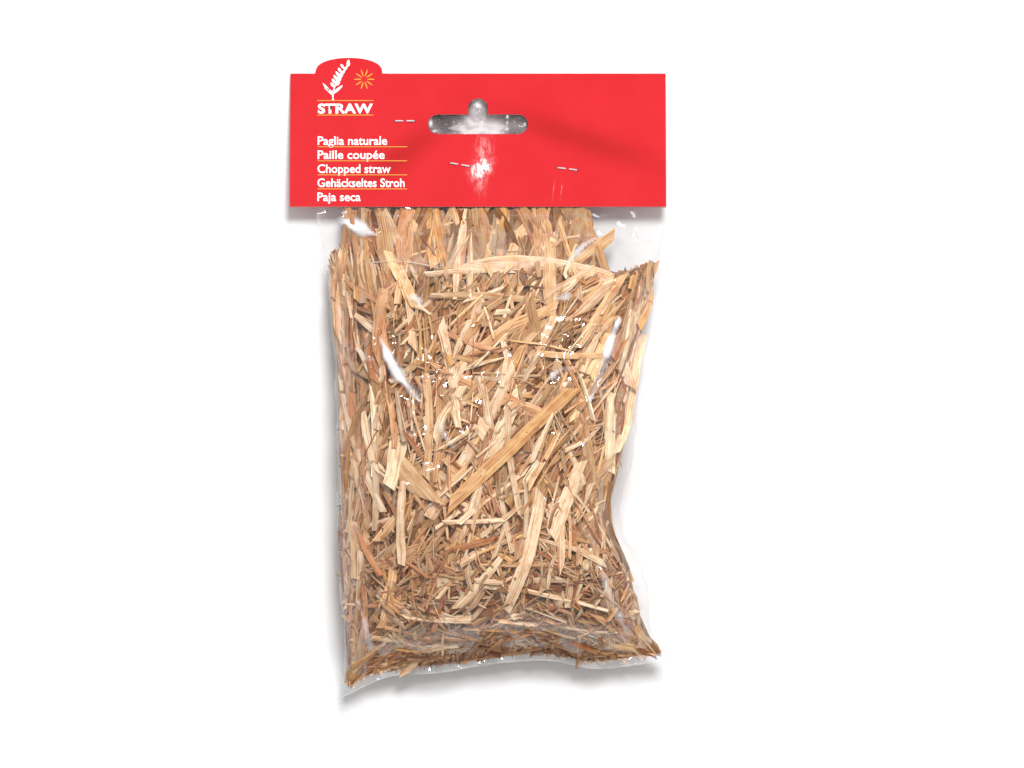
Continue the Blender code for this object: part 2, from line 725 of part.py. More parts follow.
def build():
    clear_scene()
    pack = new_collection("straw_pack")
    helpers = new_collection("cutters", hidden=True)
    cutters = {key: new_collection(f"cutters_{key}", helpers) for key in ("card", "film", "joined")}

    card_red = plain_material("coated_card_red", (0.78, 0.02, 0.04), 0.28)
    clear_film = plain_material("clear_film", (0.95, 0.95, 0.96), 0.08, alpha=0.2)
    wire = plain_material("staple_wire", (0.62, 0.62, 0.64), 0.3, metallic=1.0)
    straw = plain_material("dry_straw", (0.62, 0.42, 0.18), 0.5)

    bag = add_object("bag_film", bag_surface("bag_film"), pack, clear_film)
    wall(bag, FILM_WALL)
    fin = add_object("seal_fin", seal_fin("seal_fin"), cutters["joined"])
    as_cutter(fin)
    boolean(bag, "UNION", other=fin)

    front, back = front_straws(), back_straws()
    filling = fill_mesh("straw_fill", layers_depth(front), layers_depth(back))
    add_object("straw_fill", filling, pack, straw)
    add_straws(front, back, pack, straw)

    header = bpy.data.objects.new("header_hinge", None)
    pack.objects.link(header)
    header.location = (CARD_CENTRE_X, HINGE_Y, NECK_HEIGHT)
    header.rotation_euler = (-DROOP, 0, 0)
    leg_cutters("card_leg_hole", cutters["card"], header)
    leg_cutters("film_leg_hole", cutters["film"], header)
    folded_card("header_card", pack, cutters, card_red, header)
    mouth_film("bag_mouth_film", pack, cutters, clear_film, header)
    for name, place in STAPLES.items():
        staple(name, place, pack, wire, header)


build()
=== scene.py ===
"""The looks of a hang-sell pack of chopped craft straw: clear film, tangled straw and a stapled red card.

Metres, in the frame of the CAD part. The pack lies on its back on a pale table and is seen from above.
"""

import json
import math

import bpy
import numpy as np
from mathutils import Matrix, Vector


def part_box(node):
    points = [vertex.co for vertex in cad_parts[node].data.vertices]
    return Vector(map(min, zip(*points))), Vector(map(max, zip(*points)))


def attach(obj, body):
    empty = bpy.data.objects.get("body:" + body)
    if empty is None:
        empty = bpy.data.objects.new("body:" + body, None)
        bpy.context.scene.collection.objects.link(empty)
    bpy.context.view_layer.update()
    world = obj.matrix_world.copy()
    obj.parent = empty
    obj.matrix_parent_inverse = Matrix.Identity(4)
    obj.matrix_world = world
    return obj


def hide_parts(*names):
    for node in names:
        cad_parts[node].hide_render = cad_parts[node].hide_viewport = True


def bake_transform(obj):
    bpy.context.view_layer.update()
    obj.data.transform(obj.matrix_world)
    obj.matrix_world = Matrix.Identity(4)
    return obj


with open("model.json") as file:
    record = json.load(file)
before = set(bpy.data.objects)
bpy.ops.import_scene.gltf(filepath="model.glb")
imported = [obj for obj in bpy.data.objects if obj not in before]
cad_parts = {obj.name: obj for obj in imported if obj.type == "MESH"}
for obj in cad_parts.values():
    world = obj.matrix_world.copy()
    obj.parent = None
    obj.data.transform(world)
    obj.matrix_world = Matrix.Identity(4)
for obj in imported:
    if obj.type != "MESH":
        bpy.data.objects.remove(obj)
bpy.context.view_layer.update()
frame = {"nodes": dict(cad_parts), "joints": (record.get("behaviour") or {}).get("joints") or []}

MM = 0.001
HINGE = Vector(frame["joints"][0]["pos_m"])
ROOT, HEADER = "filled_bag", "header"


# ---------------------------------------------------------------- materials


def linear(code):
    """An sRGB hex colour as linear red, green, blue and alpha."""
    s = np.array([int(code[k : k + 2], 16) for k in (1, 3, 5)]) / 255
    return (*np.where(s <= 0.04045, s / 12.92, ((s + 0.055) / 1.055) ** 2.4), 1.0)


def add(tree, kind, settings=(), links=()):
    """Adds a node. Settings name its properties, or its inputs by name or place, and links feed its inputs.
    The setting stops is a ramp's list of (place, hex colour)."""
    made = tree.nodes.new(kind)
    for key, value in dict(settings).items():
        if key == "stops":
            elements = made.color_ramp.elements
            while len(elements) < len(value):
                elements.new(0.5)
            for element, (place, code) in zip(elements, value):
                element.position, element.color = place, linear(code)
        elif isinstance(key, str) and hasattr(made, key):
            setattr(made, key, value)
        else:
            made.inputs[key].default_value = value
    for key, socket in dict(links).items():
        tree.links.new(socket, made.inputs[key])
    return made


def new_material(name):
    """An empty material: (material, its node tree)."""
    made = bpy.data.materials.new(name)
    made.use_nodes = True
    made.node_tree.nodes.clear()
    return made, made.node_tree


def dry_split_straw():
    """Cereal straw, flattened and split: a waxy skin with a satin shine, and fibres that show as streaks.

    Each straw's own colour is in the attribute straw_colour, and its UV map runs across and along it in mm.
    The streaks are 0.35 mm apart, wider than real fibres so that they show.
    """
    made, tree = new_material("dry_split_straw")
    colour = add(tree, "ShaderNodeAttribute", {"attribute_name": "straw_colour"})
    place = add(tree, "ShaderNodeUVMap", {"uv_map": "fibre"}).outputs["UV"]
    drawn_out = add(tree, "ShaderNodeMapping", {"Scale": (1 / 0.35, 0.05, 1)}, {"Vector": place})
    fibre = add(
        tree,
        "ShaderNodeTexNoise",
        {"Scale": 1.0, "Detail": 3.0, "Roughness": 0.6},
        {"Vector": drawn_out.outputs["Vector"]},
    )
    patch = add(tree, "ShaderNodeMapping", {"Scale": (0.5, 0.22, 1)}, {"Vector": place})
    stain = add(
        tree,
        "ShaderNodeTexNoise",
        {"Scale": 1.0, "Detail": 2.0, "Roughness": 0.5},
        {"Vector": patch.outputs["Vector"]},
    )
    streaks = [(0.3, "#8E5A36"), (0.42, "#DDB793"), (0.54, "#FFFFFF"), (1, "#FFFFFF")]
    stains = [(0.28, "#D09A6E"), (0.5, "#F6E6D6"), (0.7, "#FFFFFF")]
    tone = colour.outputs["Color"]
    for noise, stops, share in ((fibre, streaks, 0.8), (stain, stains, 0.7)):
        layer = add(tree, "ShaderNodeValToRGB", {"stops": stops}, {"Fac": noise.outputs["Fac"]})
        settings = {"data_type": "RGBA", "blend_type": "MULTIPLY", 0: share}
        tone = add(tree, "ShaderNodeMix", settings, {6: tone, 7: layer.outputs["Color"]}).outputs[2]
    relief = add(
        tree, "ShaderNodeBump", {"Strength": 0.8, "Distance": 0.12 * MM}, {"Height": fibre.outputs["Fac"]}
    )
    skin = add(
        tree,
        "ShaderNodeBsdfPrincipled",
        {"Roughness": 0.36, "IOR": 1.48, "Sheen Weight": 0.08, "Sheen Roughness": 0.5},
        {"Base Color": tone, "Normal": relief.outputs["Normal"]},
    )
    add(tree, "ShaderNodeOutputMaterial", {}, {"Surface": skin.outputs["BSDF"]})
    return made


def painted_gap_shade():
    """The dense middle of the straw: only its gaps show, so it is painted dark brown as the shade deep among
    the straws, a dull brown tangle.
    """
    made, tree = new_material("painted_gap_shade")
    place = add(tree, "ShaderNodeTexCoord").outputs["Object"]
    wide = add(tree, "ShaderNodeMapping", {"Scale": (420, 150, 300)}, {"Vector": place})
    tangle = add(
        tree,
        "ShaderNodeTexNoise",
        {"Scale": 1.0, "Detail": 5.0, "Roughness": 0.65, "Distortion": 1.6},
        {"Vector": wide.outputs["Vector"]},
    ).outputs["Fac"]
    # Painted shade: browns far darker than the straws, for the shadow deep in the gaps.
    gap_shade_browns = [(0.3, "#43220F"), (0.5, "#6B3F23"), (0.68, "#94633B"), (0.85, "#B98A5E")]
    tones = add(tree, "ShaderNodeValToRGB", {"stops": gap_shade_browns}, {"Fac": tangle})
    relief = add(tree, "ShaderNodeBump", {"Strength": 0.8, "Distance": 0.6 * MM}, {"Height": tangle})
    skin = add(
        tree,
        "ShaderNodeBsdfPrincipled",
        {"Roughness": 0.75, "IOR": 1.45},
        {"Base Color": tones.outputs["Color"], "Normal": relief.outputs["Normal"]},
    )
    add(tree, "ShaderNodeOutputMaterial", {}, {"Surface": skin.outputs["BSDF"]})
    return made


def clear_polypropylene(name="clear_polypropylene_film", crumples=170.0, depth=0.4, least=0.01, most=0.13):
    """Cast polypropylene film: see-through, with a hard gloss broken up by small crumples and a faint haze.

    Crumples are how many there are to a metre, and depth is their strength. The gloss is at least least of
    what the film shows and at most most. The attribute whitening adds a white haze: haze where
    the film is welded, folded double or cut, and painted highlights where glints are painted white.
    """
    made, tree = new_material(name)
    place = add(tree, "ShaderNodeTexCoord").outputs["Object"]
    crumple = add(
        tree,
        "ShaderNodeTexVoronoi",
        {"feature": "SMOOTH_F1", "Scale": crumples, "Smoothness": 0.3, "Randomness": 1.0},
        {"Vector": place},
    )
    soft = add(
        tree, "ShaderNodeTexNoise", {"Scale": 95.0, "Detail": 2.0, "Roughness": 0.5}, {"Vector": place}
    )
    folds = add(
        tree, "ShaderNodeBump", {"Strength": 0.5, "Distance": 1.6 * MM}, {"Height": soft.outputs["Fac"]}
    )
    facets = add(
        tree,
        "ShaderNodeBump",
        {"Strength": depth, "Distance": 1.4 * MM},
        {"Height": crumple.outputs["Distance"], "Normal": folds.outputs["Normal"]},
    ).outputs["Normal"]
    gloss = add(
        tree, "ShaderNodeBsdfGlossy", {"Color": linear("#FFFFFF"), "Roughness": 0.055}, {"Normal": facets}
    )
    haze = add(tree, "ShaderNodeBsdfDiffuse", {"Color": linear("#F4F4F6"), "Roughness": 0.5}).outputs["BSDF"]
    veil = add(tree, "ShaderNodeMixShader", {"Fac": 0.16}, {1: gloss.outputs["BSDF"], 2: haze})
    through = add(tree, "ShaderNodeBsdfTransparent", {"Color": linear("#FEFEFE")}).outputs["BSDF"]
    edge = add(tree, "ShaderNodeFresnel", {"IOR": 1.49}, {"Normal": facets})
    share = add(
        tree,
        "ShaderNodeMath",
        {"operation": "MULTIPLY_ADD", "use_clamp": True, 1: 0.7, 2: least},
        {0: edge.outputs["Fac"]},
    )
    capped = add(tree, "ShaderNodeMath", {"operation": "MINIMUM", 1: most}, {0: share.outputs["Value"]})
    shown = add(
        tree,
        "ShaderNodeMixShader",
        {},
        {"Fac": capped.outputs["Value"], 1: through, 2: veil.outputs["Shader"]},
    )
    # Its white is haze where the film is welded, folded double or cut, and painted highlight at the glints.
    white = add(tree, "ShaderNodeAttribute", {"attribute_name": "whitening"})
    haze_and_painted_glint_mix = add(
        tree, "ShaderNodeMixShader", {}, {"Fac": white.outputs["Fac"], 1: shown.outputs["Shader"], 2: haze}
    )
    add(tree, "ShaderNodeOutputMaterial", {}, {"Surface": haze_and_painted_glint_mix.outputs["Shader"]})
    return made


def crumpled_film():
    """The same film punched and crushed in the hang slot: sharper crumples, and a greyer see-through tint where
    it lies several times over and where the card shades it, which is painted shade.

    The attribute gathered says how grey the tint is there, from 0 to 1.
    """
    made = clear_polypropylene("crumpled_polypropylene_film", 480.0, 1.0, least=0.1, most=0.5)
    tree = made.node_tree
    layers_and_shade = add(tree, "ShaderNodeAttribute", {"attribute_name": "gathered"})
    # Painted shade: the see-through tint goes grey where the film lies several times over and where the card
    # shades it.
    greys = [(0, "#F6F2F2"), (0.5, "#C9C1C2"), (1, "#857C7F")]
    tint = add(tree, "ShaderNodeValToRGB", {"stops": greys}, {"Fac": layers_and_shade.outputs["Fac"]})
    for node in tree.nodes:
        if node.type == "BSDF_TRANSPARENT":
            tree.links.new(tint.outputs["Color"], node.inputs["Color"])
    return made


def bell(tree, place, card, x, y, turn, long, wide):
    """A soft mark on the card, a bell that falls from 1 at (x, y): exp of minus the squared distance, in
    units of long along its length, which is turned by turn degrees, and of wide across it."""
    c, s = math.cos(math.radians(turn)), math.sin(math.radians(turn))
    spot = HINGE + card.right * x + card.up * y
    squares = []
    for axis, reach in ((card.right * c + card.up * s, long), (card.up * c - card.right * s, wide)):
        off = add(tree, "ShaderNodeVectorMath", {"operation": "DOT_PRODUCT", 1: axis / reach}, {0: place})
        moved = add(
            tree,
            "ShaderNodeMath",
            {"operation": "SUBTRACT", 1: spot.dot(axis) / reach},
            {0: off.outputs["Value"]},
        ).outputs["Value"]
        squares.append(add(tree, "ShaderNodeMath", {"operation": "MULTIPLY"}, {0: moved, 1: moved}))
    total = add(
        tree,
        "ShaderNodeMath",
        {"operation": "ADD"},
        {0: squares[0].outputs["Value"], 1: squares[1].outputs["Value"]},
    )
    fall = add(tree, "ShaderNodeMath", {"operation": "POWER", 0: math.exp(-1)}, {1: total.outputs["Value"]})
    return fall.outputs["Value"]


def greatest(tree, marks):
    """The largest of several soft marks."""
    top = marks[0]
    for mark in marks[1:]:
        top = add(tree, "ShaderNodeMath", {"operation": "MAXIMUM"}, {0: top, 1: mark}).outputs["Value"]
    return top


# Soft marks on the card, in mm from the middle of its lower edge: x, y, turn in degrees, length, width.
# Painted shade: two darker bands down from the ends of the slot, for bends that turn away from the light.
PAINTED_BEND_SHADE = ((-24, 17, 36, 16, 4.2), (31, 22.5, -19, 26, 4.2))
# Painted highlight: the glint on the varnish over the middle staple.
PAINTED_GLINT = ((1.0, 12.4, 50, 2.7, 1.9),)
# The glint's fainter painted streaks above and below it, then two short scratches at the right.
GLINT_STREAKS_AND_SCRATCHES = (
    (1.8, 17.5, 86, 5.5, 2.2),
    (0.9, 8.5, 90, 3.6, 1.8),
    (24.0, 5, 84, 2.4, 0.14),
    (26.6, 5, 84, 2.4, 0.14),
)


def soft_marks(tree, place, card, marks):
    """The largest of the listed marks at each place on the card."""
    bells = [
        bell(tree, place, card, x * MM, card.low + y * MM, turn, long * MM, wide * MM)
        for x, y, turn, long, wide in marks
    ]
    return greatest(tree, bells)


def painted_glint_and_scratches(tree, place, card):
    """A painted highlight: the glint on the varnish over the middle staple, white in fine lines, with fainter
    painted streaks above and below it, and two short scratches at the right.
    """
    lines = add(
        tree, "ShaderNodeMapping", {"Scale": (1100, 420, 420), "Rotation": (0, 0, 0.3)}, {"Vector": place}
    )
    grain = add(
        tree,
        "ShaderNodeTexNoise",
        {"Scale": 1.0, "Detail": 4.0, "Roughness": 0.75},
        {"Vector": lines.outputs["Vector"]},
    )
    greys = [(0.36, "#2C2C2C"), (0.48, "#8A8A8A"), (0.6, "#FFFFFF")]
    sharp = add(tree, "ShaderNodeValToRGB", {"stops": greys}, {"Fac": grain.outputs["Fac"]})
    scaled = []
    for marks, strength in ((PAINTED_GLINT, 3.6), (GLINT_STREAKS_AND_SCRATCHES, 0.34)):
        mark = soft_marks(tree, place, card, marks)
        made = add(tree, "ShaderNodeMath", {"operation": "MULTIPLY", 1: strength}, {0: mark})
        scaled.append(made.outputs["Value"])
    both = {0: greatest(tree, scaled), 1: sharp.outputs["Color"]}
    return add(tree, "ShaderNodeMath", {"operation": "MULTIPLY", "use_clamp": True}, both).outputs["Value"]


def coated_card(card):
    """Solid bleached board, printed red and varnished: even colour, a soft gloss and white cut edges.

    The edges are where the surface turns away from the card's plane, except along the fold. Two soft bands
    run down from the ends of the slot, painted darker as the shade of bends that turn away from the light.
    Over the middle staple a painted highlight stands for a glint on the varnish.
    """
    made, tree = new_material("coated_red_card")
    coordinates = add(tree, "ShaderNodeTexCoord")
    place = coordinates.outputs["Object"]
    mottle = add(
        tree, "ShaderNodeTexNoise", {"Scale": 90.0, "Detail": 3.0, "Roughness": 0.6}, {"Vector": place}
    )
    reds = [(0.3, "#CE111C"), (0.7, "#D41823")]
    red = add(tree, "ShaderNodeValToRGB", {"stops": reds}, {"Fac": mottle.outputs["Fac"]})
    side = add(
        tree,
        "ShaderNodeVectorMath",
        {"operation": "DOT_PRODUCT", 1: card.normal},
        {0: coordinates.outputs["Normal"]},
    )
    flat = add(tree, "ShaderNodeMath", {"operation": "ABSOLUTE"}, {0: side.outputs["Value"]})
    cut = add(tree, "ShaderNodeMath", {"operation": "LESS_THAN", 1: 0.3}, {0: flat.outputs["Value"]})
    height = add(tree, "ShaderNodeVectorMath", {"operation": "DOT_PRODUCT", 1: card.up}, {0: place})
    fold = add(
        tree,
        "ShaderNodeMath",
        {"operation": "COMPARE", 1: card.up.dot(HINGE) + card.fold, 2: 1.2 * MM},
        {0: height.outputs["Value"]},
    )
    kept = add(
        tree,
        "ShaderNodeMath",
        {"operation": "SUBTRACT", "use_clamp": True},
        {0: cut.outputs["Value"], 1: fold.outputs["Value"]},
    )
    tone = red.outputs["Color"]
    for blend, code, where in (
        # painted shade of the two bends, multiplied into the red
        ("MULTIPLY", "#E08A8A", soft_marks(tree, place, card, PAINTED_BEND_SHADE)),
        # painted highlight: the glint over the middle staple, and the scratches, mixed to near white
        ("MIX", "#FFF3F2", painted_glint_and_scratches(tree, place, card)),
        ("MIX", "#F1E6E2", kept.outputs["Value"]),
    ):
        settings = {"data_type": "RGBA", "blend_type": blend, 7: linear(code)}
        tone = add(tree, "ShaderNodeMix", settings, {0: where, 6: tone}).outputs[2]
    relief = add(
        tree, "ShaderNodeBump", {"Strength": 0.06, "Distance": 0.4 * MM}, {"Height": mottle.outputs["Fac"]}
    )
    skin = add(
        tree,
        "ShaderNodeBsdfPrincipled",
        {"Roughness": 0.5, "IOR": 1.45, "Specular IOR Level": 0.3, "Coat Weight": 0.2, "Coat Roughness": 0.3},
        {"Base Color": tone, "Normal": relief.outputs["Normal"]},
    )
    add(tree, "ShaderNodeOutputMaterial", {}, {"Surface": skin.outputs["BSDF"]})
    return made


def printing_ink(name, code, lift):
    """Offset ink under the card's varnish: flat colour with the card's own soft gloss."""
    made, tree = new_material(name)
    place = add(tree, "ShaderNodeTexCoord").outputs["Object"]
    grain = add(tree, "ShaderNodeTexNoise", {"Scale": 900.0, "Detail": 2.0}, {"Vector": place})
    tone = add(
        tree,
        "ShaderNodeMix",
        {"data_type": "RGBA", 6: linear(code), 7: linear(lift)},
        {0: grain.outputs["Fac"]},
    )
    skin = add(
        tree, "ShaderNodeBsdfPrincipled", {"Roughness": 0.45, "IOR": 1.5}, {"Base Color": tone.outputs[2]}
    )
    add(tree, "ShaderNodeOutputMaterial", {}, {"Surface": skin.outputs["BSDF"]})
    return made


def drawn_steel_wire():
    """Galvanised staple wire: bright metal with faint drawing lines along it.

    Its zinc coat is dulled, so it is half metallic and keeps a pale grey of its own.
    """
    made, tree = new_material("drawn_steel_wire")
    place = add(tree, "ShaderNodeTexCoord").outputs["Object"]
    noise = add(tree, "ShaderNodeTexNoise", {"Scale": 2500.0, "Detail": 2.0}, {"Vector": place})
    lines = noise.outputs["Fac"]
    tones = add(tree, "ShaderNodeValToRGB", {"stops": [(0.3, "#E4E4E8"), (0.7, "#FFFFFF")]}, {"Fac": lines})
    relief = add(tree, "ShaderNodeBump", {"Strength": 0.15, "Distance": 0.05 * MM}, {"Height": lines})
    skin = add(
        tree,
        "ShaderNodeBsdfPrincipled",
        {"Metallic": 0.5, "Roughness": 0.25},
        {"Base Color": tones.outputs["Color"], "Normal": relief.outputs["Normal"]},
    )
    add(tree, "ShaderNodeOutputMaterial", {}, {"Surface": skin.outputs["BSDF"]})
    return made


def matt_table():
    """A matt white laminate table top, so bright that only the pack's soft shadow shows on it."""
    made, tree = new_material("matt_white_table")
    top = add(tree, "ShaderNodeBsdfPrincipled", {"Base Color": linear("#FAFAFA"), "Roughness": 0.8})
    add(tree, "ShaderNodeOutputMaterial", {}, {"Surface": top.outputs["BSDF"]})
    return made


# ---------------------------------------------------------------- shared shape tools


def smooth(knots, at):
    """A smooth curve through (place, value) knots: cubic pieces whose slopes come from the neighbours."""
    x, y = (np.array(column, float) for column in zip(*knots))
    slope = np.gradient(y, x)
    at = np.clip(np.asarray(at, float), x[0], x[-1])
    i = np.clip(np.searchsorted(x, at) - 1, 0, len(x) - 2)
    step = x[i + 1] - x[i]
    s = (at - x[i]) / step
    return (
        (2 * s**3 - 3 * s**2 + 1) * y[i]
        + (s**3 - 2 * s**2 + s) * step * slope[i]
        + (3 * s**2 - 2 * s**3) * y[i + 1]
        + (s**3 - s**2) * step * slope[i + 1]
    )


def ripple(u, v, seed):
    """Value noise from -1 to 1: a unit grid has a hashed height at each corner, eased between corners."""
    i, j = np.floor(u), np.floor(v)
    a, b = u - i, v - j
    a, b = a * a * (3 - 2 * a), b * b * (3 - 2 * b)

    def corner(p, q):
        wave = np.sin(p * 127.1 + q * 311.7 + seed * 74.7) * 43758.5453
        return 2 * (wave - np.floor(wave)) - 1

    low = corner(i, j) * (1 - a) + corner(i + 1, j) * a
    high = corner(i, j + 1) * (1 - a) + corner(i + 1, j + 1) * a
    return low * (1 - b) + high * b


def build_mesh(name, points, faces, shade=True):
    """A mesh from an array of points and an array of equal faces."""
    mesh = bpy.data.meshes.new(name)
    mesh.vertices.add(len(points))
    mesh.vertices.foreach_set("co", np.asarray(points, np.float32).ravel())
    sides = faces.shape[1]
    mesh.loops.add(faces.size)
    mesh.loops.foreach_set("vertex_index", faces.ravel().astype(np.int32))
    mesh.polygons.add(len(faces))
    mesh.polygons.foreach_set("loop_start", np.arange(0, faces.size, sides, dtype=np.int32))
    mesh.polygons.foreach_set("use_smooth", np.full(len(faces), shade))
    mesh.update(calc_edges=True)
    mesh.validate()
    return mesh


def mesh_points(mesh):
    """The mesh's points as an array, one row each."""
    points = np.empty(len(mesh.vertices) * 3, np.float32)
    mesh.vertices.foreach_get("co", points)
    return points.reshape(-1, 3)


def grid_faces(rows, columns, closed):
    """Quads of a grid of points, by row and column. A closed grid joins its last column to its first."""
    r, c = np.meshgrid(np.arange(rows - 1), np.arange(columns if closed else columns - 1), indexing="ij")
    here, beside = r * columns + c, r * columns + (c + 1) % columns
    return np.stack([here, beside, beside + columns, here + columns], -1)


def sizes(rng, typical, spread, count, least, most):
    """Random sizes whose logarithms are normal around a typical one, held between the least and the most."""
    return np.exp(rng.normal(math.log(typical), spread, count)).clip(least, most)


def along_line(x, y, line):
    """Places beside a line, (x0, y0, x1, y1): how far along it, from 0 to 1, how far off it, its length."""
    x0, y0, x1, y1 = line
    long = math.hypot(x1 - x0, y1 - y0)
    ux, uy = (x1 - x0) / long, (y1 - y0) / long
    return ((x - x0) * ux + (y - y0) * uy) / long, (x - x0) * -uy + (y - y0) * ux, long


def add_values(mesh, name, values):
    """A number at each of the mesh's points, for its material to read."""
    made = mesh.attributes.new(name, "FLOAT", "POINT")
    made.data.foreach_set("value", np.asarray(values, np.float32).ravel())


def piece(name, mesh, material):
    """A shown object at the origin, with its mesh in place."""
    made = bpy.data.objects.new(name, mesh)
    bpy.context.scene.collection.objects.link(made)
    made.data.materials.clear()
    made.data.materials.append(material)
    return made


# ---------------------------------------------------------------- the shape of the filled bag

FILM_BOX = [Vector(corner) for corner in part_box("bag_film")]
MOUTH_BOX = [Vector(corner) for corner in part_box("bag_mouth_film")]
MOUTH_LEFT, MOUTH_RIGHT = MOUTH_BOX[0].x, MOUTH_BOX[1].x
BAG_TOP_Y = FILM_BOX[1].y
BAG_LENGTH = BAG_TOP_Y - FILM_BOX[0].y
BAG_HEIGHT = FILM_BOX[1].z
SEAL_WIDTH = 3.5 * MM
SEAL_HEIGHT = 9.5 * MM
NECK_HALF_GAP = 0.5 * MM
SECTION_POWER = 2.4
TABLE_GAP = 0.1 * MM

# Places on the bag are (across, t): across runs from -1 at the film's left edge to 1 at its right, and t from
# 0 at the neck, where the film leaves the card, to 1 at the bottom weld. The insets and the back's rise are
# (t, mm), the shares are (t, share of the bag's height), and the weld's rise is (share across it, mm).
LEFT_INSET = [(0, 0), (0.11, 2.4), (0.2, 4.3), (0.41, 6.4), (0.62, 6.9), (0.83, 7.8), (0.94, 9.0), (1, 8.0)]
RIGHT_INSET = [(0, 0), (0.11, 2.6), (0.21, 5.8), (0.3, 9.2), (0.42, 10.8), (0.55, 12.3), (0.66, 16.0)]
RIGHT_INSET += [(0.73, 14.6), (0.81, 8.8), (0.9, 6.6), (0.96, 5.6), (1, 0.6)]
SEAL_RISE = [(0, 0), (0.14, 6.4), (0.28, 7.6), (0.43, 10.2), (0.6, 11.8), (0.79, 9.2), (0.9, 10.4), (1, 11.8)]
FRONT_SHARES = [(0.07, 0.44), (0.16, 0.72), (0.3, 0.92), (0.5, 0.995), (0.61, 1), (0.72, 0.98), (0.87, 0.87)]
FRONT_SHARES += [(0.94, 0.68)]
BACK_RISE = [(0.07, 2.6), (0.16, 0.2), (0.5, 0.1), (0.87, 0.2), (0.94, 1.8)]
SIDE_SHARES = [(0.07, 0.25), (0.16, 0.32), (0.3, 0.39), (0.5, 0.43), (0.72, 0.43), (0.87, 0.39), (0.95, 0.32)]


def left_edge(t):
    """X of the film's left edge: the mouth's, less what the filling draws in."""
    return MOUTH_LEFT + smooth(LEFT_INSET, t) * MM


def right_edge(t):
    """X of the film's right edge, with its slack hollow past the middle."""
    return MOUTH_RIGHT - smooth(RIGHT_INSET, t) * MM


def across_x(across, t):
    """X at a place across the bag."""
    return left_edge(t) + (right_edge(t) - left_edge(t)) * (across + 1) / 2


def seal_drop(x):
    """From the bag's neck down to the inside of its bottom weld, which rises to the right, at each X."""
    share = (np.asarray(x, float) - left_edge(1)) / (right_edge(1) - left_edge(1))
    return BAG_LENGTH - smooth(SEAL_RISE, share) * MM - SEAL_WIDTH


def height_line(neck, table, unit, t):
    """Height along the bag: from its height at the neck, through a table's values, to the weld's height."""
    return smooth([(0, neck)] + [(k, v * unit) for k, v in table] + [(1, SEAL_HEIGHT)], t)


def front_crown(t):
    """The highest line of the film's front."""
    return height_line(HINGE.z + NECK_HALF_GAP, FRONT_SHARES, BAG_HEIGHT, t)


def back_crown(t):
    """The lowest line of the film's back, which lies on the table."""
    return np.maximum(height_line(HINGE.z - NECK_HALF_GAP, BACK_RISE, MM, t), TABLE_GAP)


def side_line(t):
    """Where the front and the back meet at the bag's two sides."""
    return height_line(HINGE.z, SIDE_SHARES, BAG_HEIGHT, t)


def bulge(across):
    """The section's shape: a flattened round, 1 in the middle and 0 at the sides."""
    return np.sqrt(np.maximum(1 - np.abs(across) ** SECTION_POWER, 0))


def front_z(across, t):
    """Height of the film's front: from the side line up to the crown, as the section bulges."""
    return side_line(t) + (front_crown(t) - side_line(t)) * bulge(across)


def back_z(across, t):
    """Height of the film's back: the same bulge downwards, up to 3.5 mm deeper, cut flat by the table."""
    depth = side_line(t) - back_crown(t)
    pressed = 3.5 * MM * np.clip(depth / (0.3 * BAG_HEIGHT), 0, 1)
    return np.maximum(side_line(t) - (depth + pressed) * bulge(across), back_crown(t))


# ---------------------------------------------------------------- the header's own plane


class CardPlane:
    """The card's plane: the hinge line is its origin, right is along the hinge and up is towards the fold."""

    def __init__(self):
        points = mesh_points(frame["nodes"]["header_card"].data).astype(float)
        normal = np.linalg.svd(points - points.mean(0), full_matrices=False)[2][2]
        self.normal = Vector(normal if normal[2] > 0 else -normal).normalized()
        self.right = Vector((1, 0, 0))
        self.up = self.normal.cross(self.right)
        along = (points - np.array(HINGE)) @ np.array(self.up)
        off = (points - np.array(HINGE)) @ np.array(self.normal)
        across = points[:, 0] - HINGE.x
        self.low = along.min()
        self.face = off.max()
        self.left = across.min()
        away_from_tab = across > 0
        self.fold = along[away_from_tab].max()

    def at(self, x, y, z=0.0):
        """A matrix that puts a flat shape at (x, y) on the card, z above its front face."""
        basis = Matrix((self.right, self.up, self.normal)).transposed().to_4x4()
        place = HINGE + self.right * x + self.up * y + self.normal * (self.face + z)
        return Matrix.Translation(place) @ basis

    def points(self, x, y, z):
        """World points of arrays in the plane's own coordinates, z from its middle."""
        axes = np.array([self.right, self.up, self.normal])
        return np.array(HINGE) + x[..., None] * axes[0] + y[..., None] * axes[1] + z[..., None] * axes[2]


# ---------------------------------------------------------------- the film


FILM_COLUMNS = 300


def pillow_grid():
    """The bag from its neck to its weld, as rows of closed sections: across is -cos(angle), and the height is
    the front's on the upper half turn and the back's on the lower one. The rows are closer at both ends."""
    angle = np.linspace(0, 2 * math.pi, FILM_COLUMNS, endpoint=False)
    neck, body, foot = np.linspace(0, 0.1, 30), np.linspace(0.1, 0.9, 176), np.linspace(0.9, 1, 34)
    A, T = np.meshgrid(-np.cos(angle), np.concatenate([neck[:-1], body[:-1], foot]))
    U = np.broadcast_to(np.sin(angle) >= -1e-9, A.shape)
    x = across_x(A, T)
    y = BAG_TOP_Y - T * seal_drop(x)
    return np.stack([x, y, np.where(U, front_z(A, T), back_z(A, T))], axis=-1), A, T, U


def tube_normals(points):
    """Unit normals of a grid that is closed across: the cross product of its two directions."""
    along = np.gradient(points, axis=0)
    round_it = np.roll(points, -1, axis=1) - np.roll(points, 1, axis=1)
    normal = np.cross(along, round_it)
    return normal / np.maximum(np.linalg.norm(normal, axis=-1, keepdims=True), 1e-12)


